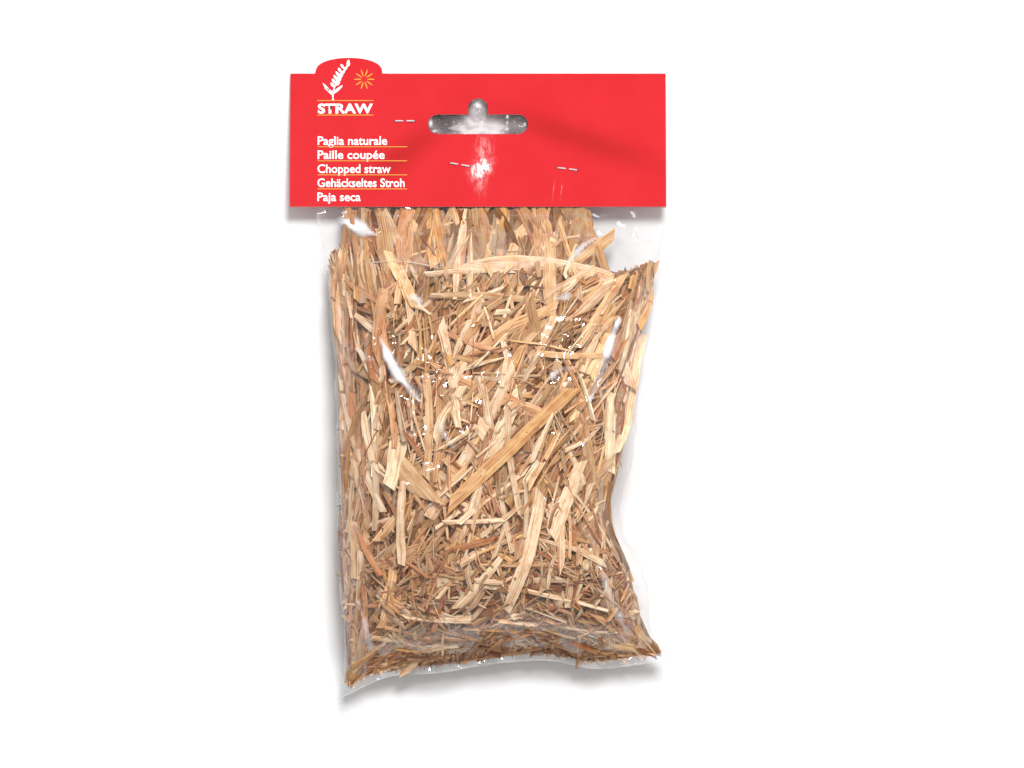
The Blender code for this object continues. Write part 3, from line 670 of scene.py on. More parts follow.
CREASES = [
    # Sharp folds in the front film, from end to end in mm: x0, y0, x1, y1, half width, height
    (-46, 49, -31, 45, 1.2, 2.2),
    (-25, 7, -15, -9, 1.0, 2.2),
    (46, 18, 35, -8, 1.0, 2.0),
    (33, 36, 44, 30, 1.0, 1.2),
    (-30, 22, -38, -2, 1.2, 1.0),
    (20, 46, 33, 41, 1.0, 1.1),
    (-8, 47, 4, 44, 0.9, 0.9),
    (-40, -70, -30, -92, 1.2, 1.2),
    (38, -58, 47, -84, 1.2, 1.3),
    (8, -80, 24, -88, 1.1, 1.0),
    (-20, -82, -4, -87, 1.1, 1.0),
    (47, -20, 41, -48, 1.1, 1.2),
]


def creased(x, y):
    """Each crease's height falls off as a bell across its line, and fades at its two ends."""
    total = 0 * x
    for *line, width, height in CREASES:
        along, off, _ = along_line(x, y, line)
        off = off + 1.2 * np.sin(along * 5)
        fade = np.clip(along * 4, 0, 1) * np.clip((1 - along) * 4, 0, 1)
        total = total + height * fade * np.exp(-((off / width) ** 2))
    return total


PAINTED_SHINES = [
    # Painted highlights: glints of taut folds painted white, from end to end in mm: x0, y0, x1, y1, half width,
    # strength
    (-46, 49.5, -32, 46.0, 1.5, 0.8),
    (-31.5, 12.5, -19.5, -8, 1.2, 0.95),
    (-22.5, 26, -18.5, 22, 1.0, 0.6),
    (-39.5, 7.8, -33.5, 6.2, 0.9, 0.5),
    (45.2, 18.6, 33.6, -8, 1.1, 0.95),
    (27, 36.5, 37.5, 43.8, 0.8, 0.55),
    (24, 24, 28.5, 27.2, 0.8, 0.6),
    (22, -1, 29.5, 3.5, 0.8, 0.6),
    (5, 3, 9, -4, 0.7, 0.5),
    (-12, -14, -8, -24, 0.6, 0.4),
    (-40, -70, -33, -88, 0.7, 0.35),
    (38, -58, 47, -84, 0.7, 0.35),
    (8, -80, 24, -86, 0.6, 0.35),
    (47, 52.6, 49.4, 51.2, 0.4, 0.9),
    (44.5, 49.8, 45.6, 47.4, 0.4, 0.8),
    (41, 52.2, 42.8, 52.4, 0.4, 0.8),
    (36.5, 51, 38, 51.8, 0.4, 0.7),
    (49.5, 47.5, 50.2, 43, 0.35, 0.6),
    (38, 46.5, 39.2, 45.2, 0.35, 0.6),
    (-44, 52.8, -41.5, 52.4, 0.4, 0.8),
    (-27, 52.6, -25.5, 52.2, 0.4, 0.8),
]


def shine_paint(x, y):
    """Each painted highlight falls off as a bell across its line, tapers to both ends and is broken up along
    it.
    """
    total = 0 * x
    for *line, width, strength in PAINTED_SHINES:
        x0, y0 = line[:2]
        along, off, long = along_line(x, y, line)
        off = off + 0.9 * np.sin(along * 4 + x0)
        fade = np.sqrt(np.clip(along * (1 - along) * 4, 0, 1))
        uneven = width * fade * (1 + 0.6 * ripple(along * long / 1.6, 0.2 * off, y0)) + 0.05
        broken = np.clip(0.85 + 0.8 * ripple(along * long / 5.0, 0 * along, x0), 0, 1)
        total = np.maximum(total, strength * broken * np.exp(-((off / uneven) ** 4)) * (fade > 0))
    return total


def crumpled(points, A, T, U):
    """The film's ripples, in metres along its normal: folds that run down from the neck, short cross crimps
    along both side edges, slanting folds at the bottom, a broad and a fine crumple, and the sharp creases."""
    x, y = points[..., 0] / MM, points[..., 1] / MM
    side = np.abs(A) ** 6
    neck = np.exp(-T / 0.07) * np.minimum(T / 0.006, 1)
    ends = np.exp(-(1 - T) / 0.06) * np.minimum((1 - T) / 0.01, 1)
    flip = np.where(U, 1.0, 7.0)
    folds = 0.9 * neck * ripple(x / 3.6 + flip, T * 6, 3) * (1 - 0.4 * side)
    crimps = 0.6 * side * ripple(y / 4.2, A * 1.5 + flip, 5) * np.clip(T / 0.08, 0, 1)
    slants = 1.0 * ends * ripple(x / 5.0 + A * T * 4 + flip, T * 20, 8)
    broad = 0.5 * ripple(x / 11 + y / 40 + flip, y / 15, 11) * (1 - neck)
    fine = 0.2 * ripple(x / 2.6 + flip, y / 3.4, 13) + 0.12 * ripple(x / 1.5, y / 1.7 + flip, 17)
    fine = fine * np.clip(T / 0.01, 0, 1) * np.clip((1 - T) / 0.02, 0, 1)
    sharp = creased(x, y) * (U & (np.abs(A) < 0.93)) * (1 - side)
    return (folds + crimps + slants + broad + fine + sharp) * MM


SLOT_UP = 28.0 * MM  # the middle of the hang slot's band, up the card from the hinge line
FLAP_SIDE, FLAP_LOW, FLAP_HIGH = 17.4, -4.6, 9.2  # the slot film's edges from there, in mm


def slot_flaps(card, material):
    """The punched film left in the hang slot: a crumpled sheet round a narrow torn opening.

    u and v are mm from the middle of the slot's band, in the card's plane. The height is three sizes of value
    noise and one upright ridge, held between the planes of the card's two faces. The attribute
    gathered rises towards both ends, at the sides of the bump at the top and along the
    upper edge: film lying several times over, and painted shade of the card. whitening is a
    bell at each of the film's few glints, a painted highlight.
    """
    u, v = np.meshgrid(np.linspace(-FLAP_SIDE, FLAP_SIDE, 190), np.linspace(FLAP_LOW, FLAP_HIGH, 84))
    height = 0.42 * ripple(u / 2.4, v / 2.0, 41) + 0.3 * ripple(u / 1.1, v / 1.0, 43)
    height = height + 0.14 * ripple(u / 0.5, v / 0.5, 47)
    ridge = u - 9.3 - 0.03 * v
    height = height + 0.5 * np.exp(-((ridge / 0.3) ** 2)) * (np.abs(v) < 2.6)
    rim = np.clip((FLAP_SIDE - np.abs(u)) / 1.6, 0, 1)
    rim = rim * np.clip((v - FLAP_LOW) / 1.0, 0, 1) * np.clip((FLAP_HIGH - v) / 1.0, 0, 1)
    points = card.points(u * MM, SLOT_UP + v * MM, np.clip(height * rim * 0.9, -0.55, 0.55) * MM - 0.02 * MM)
    um, vm = u[:-1, :-1], v[:-1, :-1]
    opening = 1.2 * np.sqrt(np.clip(1 - (um / 9.5) ** 2, 0, 1))
    torn = np.abs(vm + 0.9 + 0.5 * ripple(um / 2.2, 0 * um, 51)) < opening
    mesh = build_mesh("slot_film", points.reshape(-1, 3), grid_faces(*u.shape, closed=False)[~torn])
    # Painted shade: darker towards both ends, at the sides of the bump and along the upper edge, where the card
    # shades the film, as well as where the film lies several times over.
    ends = np.clip((np.abs(u - 1.0) - 5.0) / 5, 0, 1)
    bump = np.clip((v - 3.5) / 2, 0, 1)
    rim_shadows = np.clip((v - 1.6) / 1.6, 0, 1) * (1 - bump) + np.clip((np.abs(u) - 14.6) / 1.6, 0, 1)
    layers_and_shade = 0.1 + 0.62 * ends * (1 - bump) + 0.6 * bump * np.clip(np.abs(u) / 2.8, 0, 1) ** 2 + 0.35 * rim_shadows
    layers_and_shade = layers_and_shade + 0.34 * ripple(u / 3.1 + v / 3, v / 3.4, 53) + 0.08 * ripple(u / 0.9, v / 1.4, 57)
    add_values(mesh, "gathered", layers_and_shade.clip(0, 1))
    # Painted highlights: white bells at the film's few glints.
    dots = np.clip(0.5 + 1.3 * ripple(v / 0.8, 0 * v, 63), 0, 1)
    painted_glints = [
        0.95 * dots * np.exp(-((ridge / 0.28) ** 2)) * (np.abs(v) < 2.9),
        0.95 * np.exp(-(((u + 15.1) / 0.5) ** 2) - ((v - 0.4) / 1.0) ** 2),
        0.7 * np.exp(-(((u + 13.8) / 0.8) ** 2) - ((v + 2.0) / 0.4) ** 2),
        0.8 * np.exp(-(((u - 14.9) / 0.35) ** 2) - (v / 0.5) ** 2),
        0.5 * np.exp(-(((u + 1.5 + v) / 1.0) ** 2) - ((v - 0.2) / 2.2) ** 2),
        0.45 * np.exp(-(((u - 3.5) / 3.5) ** 2) - ((v + 1.6) / 0.9) ** 2),
        0.7 * np.exp(-((u / 0.8) ** 2) - ((v - 6.4) / 0.9) ** 2),
    ]
    add_values(mesh, "whitening", np.max(painted_glints, axis=0))
    return piece("slot_film", mesh, material)


# The film's rows between the card's leaves, down to the hinge line, in mm: up the card, and half its gap.
MOUTH_ROWS = ((3.4, 0.12), (2.6, 0.14), (1.9, 0.2), (1.3, 0.26), (0.6, 0.32), (0.0, 0.4))
# How far across the weld each of its rows is, and how white the pillow's last row and each of those are.
WELD_ROWS = (0.12, 0.3, 0.5, 0.7, 0.85, 0.95, 1.0)
WELD_WHITES = np.array([0.12, 0.14, 0.2, 0.14, 0.14, 0.16, 0.24, 0.45])


def film_bag(card, material):
    """The whole clear bag but its slotted mouth, as one tube: rows inside the card, the pillow moved along
    its normals by its ripples, and a wavy welded fin, closed at its end."""
    points, A, T, U = pillow_grid()
    normal = tube_normals(points)
    points = points + normal * crumpled(points, A, T, U)[..., None]
    points[..., 2] = np.maximum(points[..., 2], TABLE_GAP)
    columns = FILM_COLUMNS
    share = (points[0, :, 0] - MOUTH_LEFT) / (MOUTH_RIGHT - MOUTH_LEFT)
    neck_x = MOUTH_LEFT - HINGE.x + share * (MOUTH_RIGHT - MOUTH_LEFT)
    side = np.where(U[0], 1.0, -1.0)
    mouth = [card.points(neck_x, np.full(columns, up * MM), side * gap * MM) for up, gap in MOUTH_ROWS]
    weld = []
    for step in WELD_ROWS:
        row = points[-1].copy()
        row[:, 1] -= SEAL_WIDTH * step
        wave = ripple(row[:, 0] / MM / 4.5, np.full(columns, step * 0.6), 21) * 1.3 * MM * step
        wave = wave + ripple(row[:, 0] / MM / 1.7, np.full(columns, step * 2.0), 23) * 0.5 * MM * step
        row[:, 2] = SEAL_HEIGHT + wave + side * 0.06 * MM
        weld.append(row)
    whole = np.concatenate([np.array(mouth), points, np.array(weld)])
    faces = grid_faces(len(whole), columns, closed=True).reshape(-1, 4)
    front = np.arange(columns // 2)
    last = (len(whole) - 1) * columns
    across_end = [front, front + 1, columns - front - 1, (columns - front) % columns]
    shut = last + np.stack(across_end, -1)[1:-1]
    made = build_mesh("film_bag", whole.reshape(-1, 3), np.concatenate([faces, shut]))
    white = np.zeros(whole.shape[:2])
    foot = slice(-len(WELD_WHITES), None)
    white[foot] = WELD_WHITES[:, None]
    white[foot] *= 0.75 + 0.5 * ripple(whole[foot, :, 0] / MM / 2.2, whole[foot, :, 1] / MM / 1.5, 61)
    pillow = slice(len(mouth), len(mouth) + len(points))
    # Painted highlights: the glints on the front's taut folds, painted white into the haze.
    painted_glints = np.where(U, shine_paint(points[..., 0] / MM, points[..., 1] / MM), 0)
    white[pillow] += 0.12 * np.abs(A) ** 60 + painted_glints
    add_values(made, "whitening", white.clip(0, 0.92))
    return piece("film_bag", made, material)


# ---------------------------------------------------------------- straws

# Dry straw, from fresh and bleached to stained and grey with dust.
PALETTE = {
    "cream": "#FFEACB",
    "pale": "#F9D7A8",
    "gold": "#EFC487",
    "tan": "#EBC093",
    "rose": "#E2B088",
    "brown": "#C98D5E",
    "umber": "#9C643D",
    "grey": "#DCC09F",
}


FILM_WALL = 0.6 * MM  # kept clear at the film's edges, where it is doubled
LEAST_DEPTH = 0.4 * MM  # of any straw's line, under the film
TABLE_CLEAR = 0.15 * MM  # the lowest that a straw reaches


def pressed_in(points, gap):
    """How far each section of each straw moves to stay a gap inside the film: first across, then up or down.
    points are by straw, section and corner."""
    x, y, z = np.moveaxis(points.mean(axis=2), -1, 0)
    t = np.clip((BAG_TOP_Y - y) / seal_drop(x), 0, 1)
    left, right = left_edge(t), right_edge(t)
    slack = (right - left) * (1 - fill_right(t)) * 0.4
    held = np.clip(x, left + gap + FILM_WALL, right - gap - slack)
    across = (2 * held - left - right) / (right - left)
    high, low = front_z(across, t) - gap, back_z(across, t) + 0.5 * gap
    raised = np.where(high > low, np.clip(z, low, np.maximum(high, low)), (high + low) / 2)
    inside_bag = y < BAG_TOP_Y - 1.0 * MM
    moves = [np.where(inside_bag, held - x, 0), 0 * y, np.where(inside_bag, raised - z, 0)]
    return np.stack(moves, -1)[:, :, None]


def at_ends(values, a, reach):
    """Two numbers for each straw, spread along it: the one for its start and the one for its end each fade
    out over a share, reach, of its length."""
    from_start, from_end = 1 - np.minimum(a / reach, 1), 1 - np.minimum((1 - a) / reach, 1)
    return values[:, :1] * from_start + values[:, 1:] * from_end


# A ribbon's section by its number of corners: across, in half widths, and up, in thicknesses.
SECTIONS = {
    6: (np.array([-1, -0.45, 0.45, 1, 0.45, -0.45]), np.array([0, 0.5, 0.5, 0, -0.5, -0.5])),
    4: (np.array([-1, 0, 1, 0]), np.array([0, 0.5, 0, -0.5])),
}
END_CAPS = {6: [[0, 1, 4, 5], [1, 2, 3, 4]], 4: [[0, 1, 2, 3]]}


def straw_mesh(
    name,
    start,
    end,
    width,
    up,
    rng,
    colours,
    rings=6,
    sides=6,
    curl=0.22,
    thick=0.22 * MM,
    taper=None,
    cut=0.8,
    kinked=0.0,
):
    """Straws as closed ribbons, all at once. Each runs from start to end; its section is a shallow trough,
    curl times its half width deep; it bows a little sideways, a share of them, kinked, have one bend, and
    their ends narrow by taper or are cut on a slant. What would stand out of the bag is pressed back in."""
    count = len(start)
    length = np.linalg.norm(end - start, axis=1)
    forward = (end - start) / length[:, None]
    sideways = np.cross(up, forward)
    sideways /= np.linalg.norm(sideways, axis=1, keepdims=True)
    normal = np.cross(forward, sideways)
    a = np.linspace(0, 1, rings)
    taper = 0.75 * rng.uniform(0, 1, (count, 2)) ** 3 if taper is None else taper
    half = width[:, None] / 2 * (1 - at_ends(taper, a, 0.25))
    half = half * (1 + 0.09 * rng.uniform(-1, 1, (count, rings)))
    bow = rng.normal(0, 0.026, count) * length
    sway = bow[:, None] * 4 * a * (1 - a) + rng.normal(0, 0.05, (count, rings)) * width[:, None] * 0.4
    kink = rng.uniform(0.3, 0.7, (count, 1))
    bend = rng.normal(0, 0.26, count) * (rng.uniform(size=count) < kinked)
    sway = sway + (np.maximum(a - kink, 0) - (1 - kink) * a) * (bend * length)[:, None]
    slant = rng.uniform(-cut, cut, (count, 2)) * width[:, None]
    c, h = SECTIONS[sides]
    along = a[None, :, None] * length[:, None, None] + at_ends(slant, a, 0.2)[:, :, None] * c
    side = sway[:, :, None] + half[:, :, None] * c
    twist = rng.normal(0, 0.25, count)[:, None] * (a - 0.5)
    lift = curl * half[:, :, None] * (1 - c**2) + h * thick + side * np.tan(twist)[:, :, None]
    points = (
        start[:, None, None, :]
        + along[..., None] * forward[:, None, None, :]
        + side[..., None] * sideways[:, None, None, :]
        + lift[..., None] * normal[:, None, None, :]
    )
    points = points + pressed_in(points, rng.uniform(0.3, 1.1, (count, 1)) * MM)
    points[..., 2] = np.maximum(points[..., 2], TABLE_CLEAR)
    origin = np.arange(count)[:, None, None] * rings * sides
    around = origin + grid_faces(rings, sides, closed=True).reshape(-1, 4)[:, [0, 3, 2, 1]]
    caps = np.array(END_CAPS[sides])
    first, last = origin + caps, origin + (rings - 1) * sides + caps[:, ::-1]
    faces = np.concatenate([around.reshape(-1, 4), first.reshape(-1, 4), last.reshape(-1, 4)])
    mesh = build_mesh(name, points.reshape(-1, 3), faces, shade=False)
    shift = rng.uniform(0, 400, (count, 2))
    across_mm = np.broadcast_to((half[:, :, None] * c) / MM, (count, rings, sides)) + shift[:, :1, None]
    along_mm = along / MM + shift[:, 1:, None]
    uv = np.stack([across_mm, along_mm], -1).reshape(-1, 2)
    layer = mesh.uv_layers.new(name="fibre")
    loops = np.empty(len(mesh.loops), np.int32)
    mesh.loops.foreach_get("vertex_index", loops)
    layer.data.foreach_set("uv", uv[loops].astype(np.float32).ravel())
    tint = mesh.attributes.new("straw_colour", "FLOAT_COLOR", "POINT")
    each = np.repeat(colours, rings * sides, axis=0)
    tint.data.foreach_set("color", each.astype(np.float32).ravel())
    return mesh


def straw_colours(names, weights, count, rng, down=None, deep=None):
    """Linear colours drawn from the palette, each a little lighter or darker, darker towards the top and the
    bottom of the bag, and painted darker and browner deep inside, as shade under the straws above. down is
    from 0 to 1 and deep in metres."""
    tones = np.array([linear(PALETTE[name]) for name in names])
    chosen = tones[rng.choice(len(names), count, p=np.array(weights) / sum(weights))]
    light = rng.normal(0.96, 0.14, (count, 1)).clip(0.6, 1.3)
    if down is not None:
        darker = [(0, 0.9), (0.15, 0.6), (0.3, 0), (0.62, 0.1), (0.82, 0.8), (1, 1)]
        light *= (1 - 0.1 * smooth(darker, down))[:, None]
    chosen[:, :3] *= light
    if deep is not None:
        # Painted shade: the deeper a straw lies under others, the darker and browner it is painted.
        depth_shade = np.clip((deep / MM - 0.8) / 4.0, 0, 1)[:, None]
        chosen[:, :3] *= 1.05 - depth_shade * np.array([0.7, 0.79, 0.87])
    return chosen.clip(0, 1)


# How far down the bag the straw begins, as (across, t), and how far across it reaches, as (t, across).
FILL_TOP = [(-1.0, 0.1), (-0.95, 0.075), (-0.88, 0.05), (-0.78, 0.025), (-0.6, 0.005), (-0.45, 0.0)]
FILL_TOP += [(0.42, 0.0), (0.54, 0.05), (0.64, 0.125), (0.76, 0.13), (0.88, 0.105), (1.0, 0.09)]
FILL_SIDE = 0.955
FILL_RIGHT = [(0, FILL_SIDE), (0.3, FILL_SIDE), (0.45, 0.91), (0.6, 0.87), (0.8, 0.88), (0.93, 0.9)]
FILL_RIGHT += [(1, 0.94)]


def fill_top(across):
    """How far down the bag the straw begins: lower at the sides, where the neck has drawn in."""
    return np.maximum(smooth(FILL_TOP, across), 0)


def fill_right(t):
    """How far across the straw reaches at the right, where the lower half of the film hangs slack."""
    return smooth(FILL_RIGHT, t)


def seal_pinch(t):
    """How far past the pillow's end the lowest bits of straw are caught in the weld."""
    return 1.7 * MM * np.clip((t - 0.92) / 0.07, 0, 1)


def inside(across, t, depth, front=True):
    """Points at a depth under the film's front, or over its back, kept off the far film."""
    across = np.clip(across, -FILL_SIDE, FILL_SIDE)
    t = np.clip(t, fill_top(across) + 0.022, 0.994)
    across = np.minimum(across, fill_right(t))
    x = across_x(across, t)
    y = BAG_TOP_Y - t * seal_drop(x) - seal_pinch(t)
    high, low = front_z(across, t), back_z(across, t)
    room = np.maximum(high - low - 0.8 * MM, 0.1 * MM)
    depth = np.minimum(depth, room * 0.9) + LEAST_DEPTH
    z = np.where(front, high - depth, low + depth)
    return np.stack([x, y, z], -1)


def laid_straws(count, rng, length, width, depth, front=True, rows=(0.0, 1.0)):
    """Straws scattered over the bag by direction and depth, shortened where they would run past the top of
    the filling or the weld: start, end and width of each, how far down it is, and its middle's depth, made
    less where the bag is thin, for the painted shade."""
    across = rng.uniform(-1.0, 1.0, count)
    t = rng.uniform(*rows, count)
    long = sizes(rng, length, 0.38, count, length * 0.35, length * 2.2)
    turn = np.radians(heading(across, t, rng))
    half_width = (right_edge(t) - left_edge(t)) / 2
    du = np.cos(turn) * long / 2 / half_width
    dv = -np.sin(turn) * long / 2 / BAG_LENGTH
    top = fill_top(across) + (0.0 if front else 0.04)
    reach = np.maximum(np.abs(dv), 1e-4)
    fits = np.minimum((0.995 - t) / reach, (t - top) / reach).clip(0.05, 1)
    du, dv = du * fits, dv * fits
    mean = depth[0] + (depth[1] - depth[0]) * rng.uniform(size=count) ** 0.6
    tilt = rng.normal(0, 1, count) * np.minimum(long * 0.06, 1.8 * MM)
    start = inside(across - du, t - dv, np.maximum(mean - tilt, depth[0]), front)
    end = inside(across + du, t + dv, np.maximum(mean + tilt, depth[0]), front)
    # The depth returned drives the painted shade, so it is scaled down where the bag is thin and straws lie
    # near the surface.
    roomy = np.clip((front_z(across, t) - back_z(across, t)) / (14 * MM), 0.1, 1)
    mean = mean * roomy
    gap = np.linalg.norm(end - start, axis=1)
    good = (gap > 2.0 * MM) & (t > top + 0.01)
    wide = sizes(rng, width, 0.4, count, width * 0.35, width * 2.2)
    return start[good], end[good], wide[good], t[good], mean[good]


def heading(across, t, rng):
    """Where straws point, in degrees from the right: upright at the top and the left, slanting elsewhere,
    with a share that cross at any angle, larger low down."""
    upright = np.clip(1 - t / 0.22, 0, 1)
    lean = 62 + 22 * np.clip(-across * 1.6, 0, 1) + 10 * np.clip(across * 1.4, 0, 1)
    lean = lean + (88 - lean) * upright
    spread = 20 + 26 * np.clip((t - 0.6) / 0.3, 0, 1) - 6 * upright
    wild = rng.uniform(size=len(t)) < 0.3 - 0.15 * upright + 0.3 * np.clip((t - 0.7) / 0.2, 0, 1)
    crossing = rng.uniform(-90, 90, len(t))
    return np.where(wild, crossing, lean + rng.normal(0, 1, len(t)) * spread)


def rolled_up(start, rng, spread):
    """Each ribbon's own up direction: out of the front of the bag, rolled by a random angle."""
    up = rng.normal(0, spread, start.shape)
    up[:, 2] = 1
    return up / np.linalg.norm(up, axis=1, keepdims=True)


# Palette weights follow PALETTE's order: cream, pale, gold, tan, rose, brown, umber, grey.
KINDS = {
    # name: (front and back counts, length, width, depths, palette weights, rings, sides, roll, fibres)
    "broad_splits": ((400, 190), 32, 2.8, (1.6, 6.5), (4, 7, 5, 4, 2, 1, 0, 1), 7, 6, 0.35, 1),
    "narrow_splits": ((1100, 480), 32, 1.6, (0.6, 7.0), (4, 6, 5, 5, 3, 2, 0, 1), 7, 6, 0.4, 1),
    "fine_splits": ((1200, 450), 26, 0.75, (0.3, 5.0), (4, 5, 4, 4, 3, 2, 1, 1), 6, 4, 0.45, 1),
    "frayed_splits": ((150, 60), 28, 0.7, (0.6, 4.5), (4, 7, 4, 4, 2, 1, 0, 2), 7, 4, 0.3, 6),
    "bright_splits": ((95, 35), 26, 1.3, (0.3, 1.2), (1, 0, 0, 0, 0, 0, 0, 0), 6, 6, 0.3, 1),
    "long_ribbons": ((105, 45), 44, 3.1, (0.4, 2.8), (8, 7, 3, 2, 0, 0, 0, 0), 11, 6, 0.25, 1),
}


def frayed(start, end, wide, fibres, rng):
    """Each straw split lengthwise: that many fibres lie side by side and spread apart a little at one end."""
    count = len(start)
    forward = end - start
    sideways = np.stack([-forward[:, 1], forward[:, 0], 0 * forward[:, 0]], -1)
    sideways /= np.linalg.norm(sideways, axis=1, keepdims=True)
    place = (np.arange(fibres) - (fibres - 1) / 2)[None, :, None] * (0.72 * MM)
    fan = rng.uniform(0.6, 2.4, (count, 1, 1))
    trim = rng.uniform(0, 0.3, (count, fibres, 2))
    first = start[:, None] + forward[:, None] * trim[..., :1] + sideways[:, None] * place
    last = end[:, None] - forward[:, None] * trim[..., 1:] + sideways[:, None] * place * fan
    last[..., 2] -= rng.uniform(0, 0.5, (count, fibres)) * MM
    return first.reshape(-1, 3), last.reshape(-1, 3), np.repeat(wide, fibres)


def loose_straw(material):
    """The several thousand straws that no CAD node stands for, by kind, on both faces of the bag."""
    made = []
    for seed, (kind, settings) in enumerate(KINDS.items()):
        counts, length, width, depth, weights, rings, sides, roll, fibres = settings
        rng = np.random.default_rng(100 + seed)
        for face, count in zip((True, False), counts):
            depths = (depth[0] * MM, depth[1] * MM)
            start, end, wide, t, deep = laid_straws(count, rng, length * MM, width * MM, depths, face)
            # deep paints deeper straws darker: painted shade
            colours = straw_colours(list(PALETTE), weights, len(start), rng, t, deep)
            up = rolled_up(start, rng, roll)
            if fibres > 1:
                start, end, wide = frayed(start, end, wide, fibres, rng)
                colours, up = np.repeat(colours, fibres, axis=0), np.repeat(up, fibres, axis=0)
                colours[:, :3] *= rng.uniform(0.82, 1.1, (len(colours), 1))
            name = f"{kind}_{'front' if face else 'back'}"
            mesh = straw_mesh(name, start, end, wide, up, rng, colours.clip(0, 1), rings, sides, kinked=0.35)
            made.append(piece(name, mesh, material))
    return made


def side_straws(material):
    """Upright straws pressed against the film's two sides, at any height between its front and back. Two in
    five of them lie along the bottom weld instead."""
    rng = np.random.default_rng(91)
    count = 1500
    side = rng.choice([-1, 1], count)
    across = side * rng.uniform(0.84, 0.965, count)
    t = rng.uniform(0.06, 0.97, count)
    half = sizes(rng, 8, 0.45, count, 0, 18) * MM / BAG_LENGTH
    share = rng.uniform(0.1, 0.95, count)
    ragged = 0.06 * rng.uniform(size=count) ** 2

    def spot(a, v):
        v = np.clip(v, fill_top(a) + 0.01 + ragged, 0.985)
        a = np.where(a > 0, a * fill_right(v) / 0.965, a)
        x = across_x(a, v)
        y = BAG_TOP_Y - v * seal_drop(x) - seal_pinch(v)
        low, high = back_z(a, v), front_z(a, v)
        return np.stack([x, y, low + 0.3 * MM + (high - low - 0.6 * MM) * share], -1)

    lean = rng.normal(0, 0.018, count)
    start = spot((across + lean).clip(-0.97, 0.97), t - half)
    end = spot((across - lean).clip(-0.97, 0.97), t + half)
    low = rng.uniform(size=count) < 0.4
    reach = np.where(low, rng.uniform(0.04, 0.14, count), 0)
    middle = rng.uniform(-0.9, 0.9, count)
    deep = rng.uniform(0.93, 0.99, count)
    tip = rng.uniform(-0.02, 0.02, count)
    start[low] = spot((middle - reach).clip(-0.95, 0.95), deep + tip)[low]
    end[low] = spot((middle + reach).clip(-0.95, 0.95), deep - tip)[low]
    t[low] = deep[low]
    good = np.linalg.norm(end - start, axis=1) > 3 * MM
    start, end, t, side = start[good], end[good], t[good], side[good]
    wide = sizes(rng, 1.5, 0.45, len(t), 0.5, 3.6) * MM
    up = rolled_up(start, rng, 0.4)
    up[:, 0] += side * 0.8 * (t < 0.93)
    colours = straw_colours(list(PALETTE), (3, 5, 5, 5, 4, 3, 1, 1), len(t), rng, t)
    colours[:, :3] *= rng.uniform(0.62, 1.0, (len(t), 1)) ** 0.8
    shape = {"rings": 5, "curl": 0.2, "thick": 0.2 * MM, "cut": 0.4}
    mesh = straw_mesh("side_straws", start, end, wide, up, rng, colours, **shape)
    return piece("side_straws", mesh, material)


def neck_straws(card, material):
    """Long straws that reach up under the card, from between its leaves to under the bag's front."""
    rng = np.random.default_rng(77)
    count = 105
    main_stand = rng.uniform(size=count) < 0.78
    x = np.where(main_stand, rng.uniform(-21, 33, count), rng.uniform(-43, -21, count)) * MM
    lift = rng.uniform(0.0, 1.2, count) * MM
    t = rng.uniform(0.04, 0.28, count)
    lean = rng.normal(0, 0.3, count) * (t * BAG_LENGTH)
    half_width = (right_edge(t) - left_edge(t)) / 2
    across = (x + lean - (left_edge(t) + right_edge(t)) / 2) / half_width
    deep = (0.4 + 5.0 * rng.uniform(size=count) ** 0.7) * MM
    end = inside(across, t, deep)
    start = card.points(x - HINGE.x, lift, (0.06 * MM - 0.035 * deep))
    wide = sizes(rng, 2.4, 0.5, count, 0.8, 5.2) * MM
    # deep paints deeper straws darker: painted shade
    colours = straw_colours(list(PALETTE), (3, 6, 6, 5, 3, 1, 0, 1), count, rng, t * 0, deep)
    taper = rng.uniform(0, 0.5, (count, 2))
    up = rolled_up(start, rng, 0.05)
    shape = {"rings": 9, "curl": 0.06, "thick": 0.14 * MM, "taper": taper, "cut": 0.1}
    mesh = straw_mesh("neck_straws", start, end, wide, up, rng, colours, **shape)
    return piece("neck_straws", mesh, material)


def chaff(material):
    """Short broken bits: most have sunk to the bottom of the bag, and a few are spread above."""
    made = []
    for face in (True, False):
        rng = np.random.default_rng(210 + face)
        low = laid_straws(1500, rng, 13 * MM, 1.15 * MM, (0.5 * MM, 5 * MM), face, (0.72, 0.994))
        spread = laid_straws(220, rng, 10 * MM, 0.8 * MM, (0.6 * MM, 7 * MM), face, (0.05, 0.8))
        start, end, wide, t, deep = (np.concatenate(pair) for pair in zip(low, spread))
        # deep paints deeper straws darker: painted shade
        colours = straw_colours(list(PALETTE), (2, 3, 2, 5, 4, 4, 2, 7), len(start), rng, t, deep)
        name = f"chaff_{'front' if face else 'back'}"
        mesh = straw_mesh(name, start, end, wide, rolled_up(start, rng, 0.6), rng, colours, rings=3, sides=4)
        made.append(piece(name, mesh, material))
    return made


HEART_COLUMNS = 96


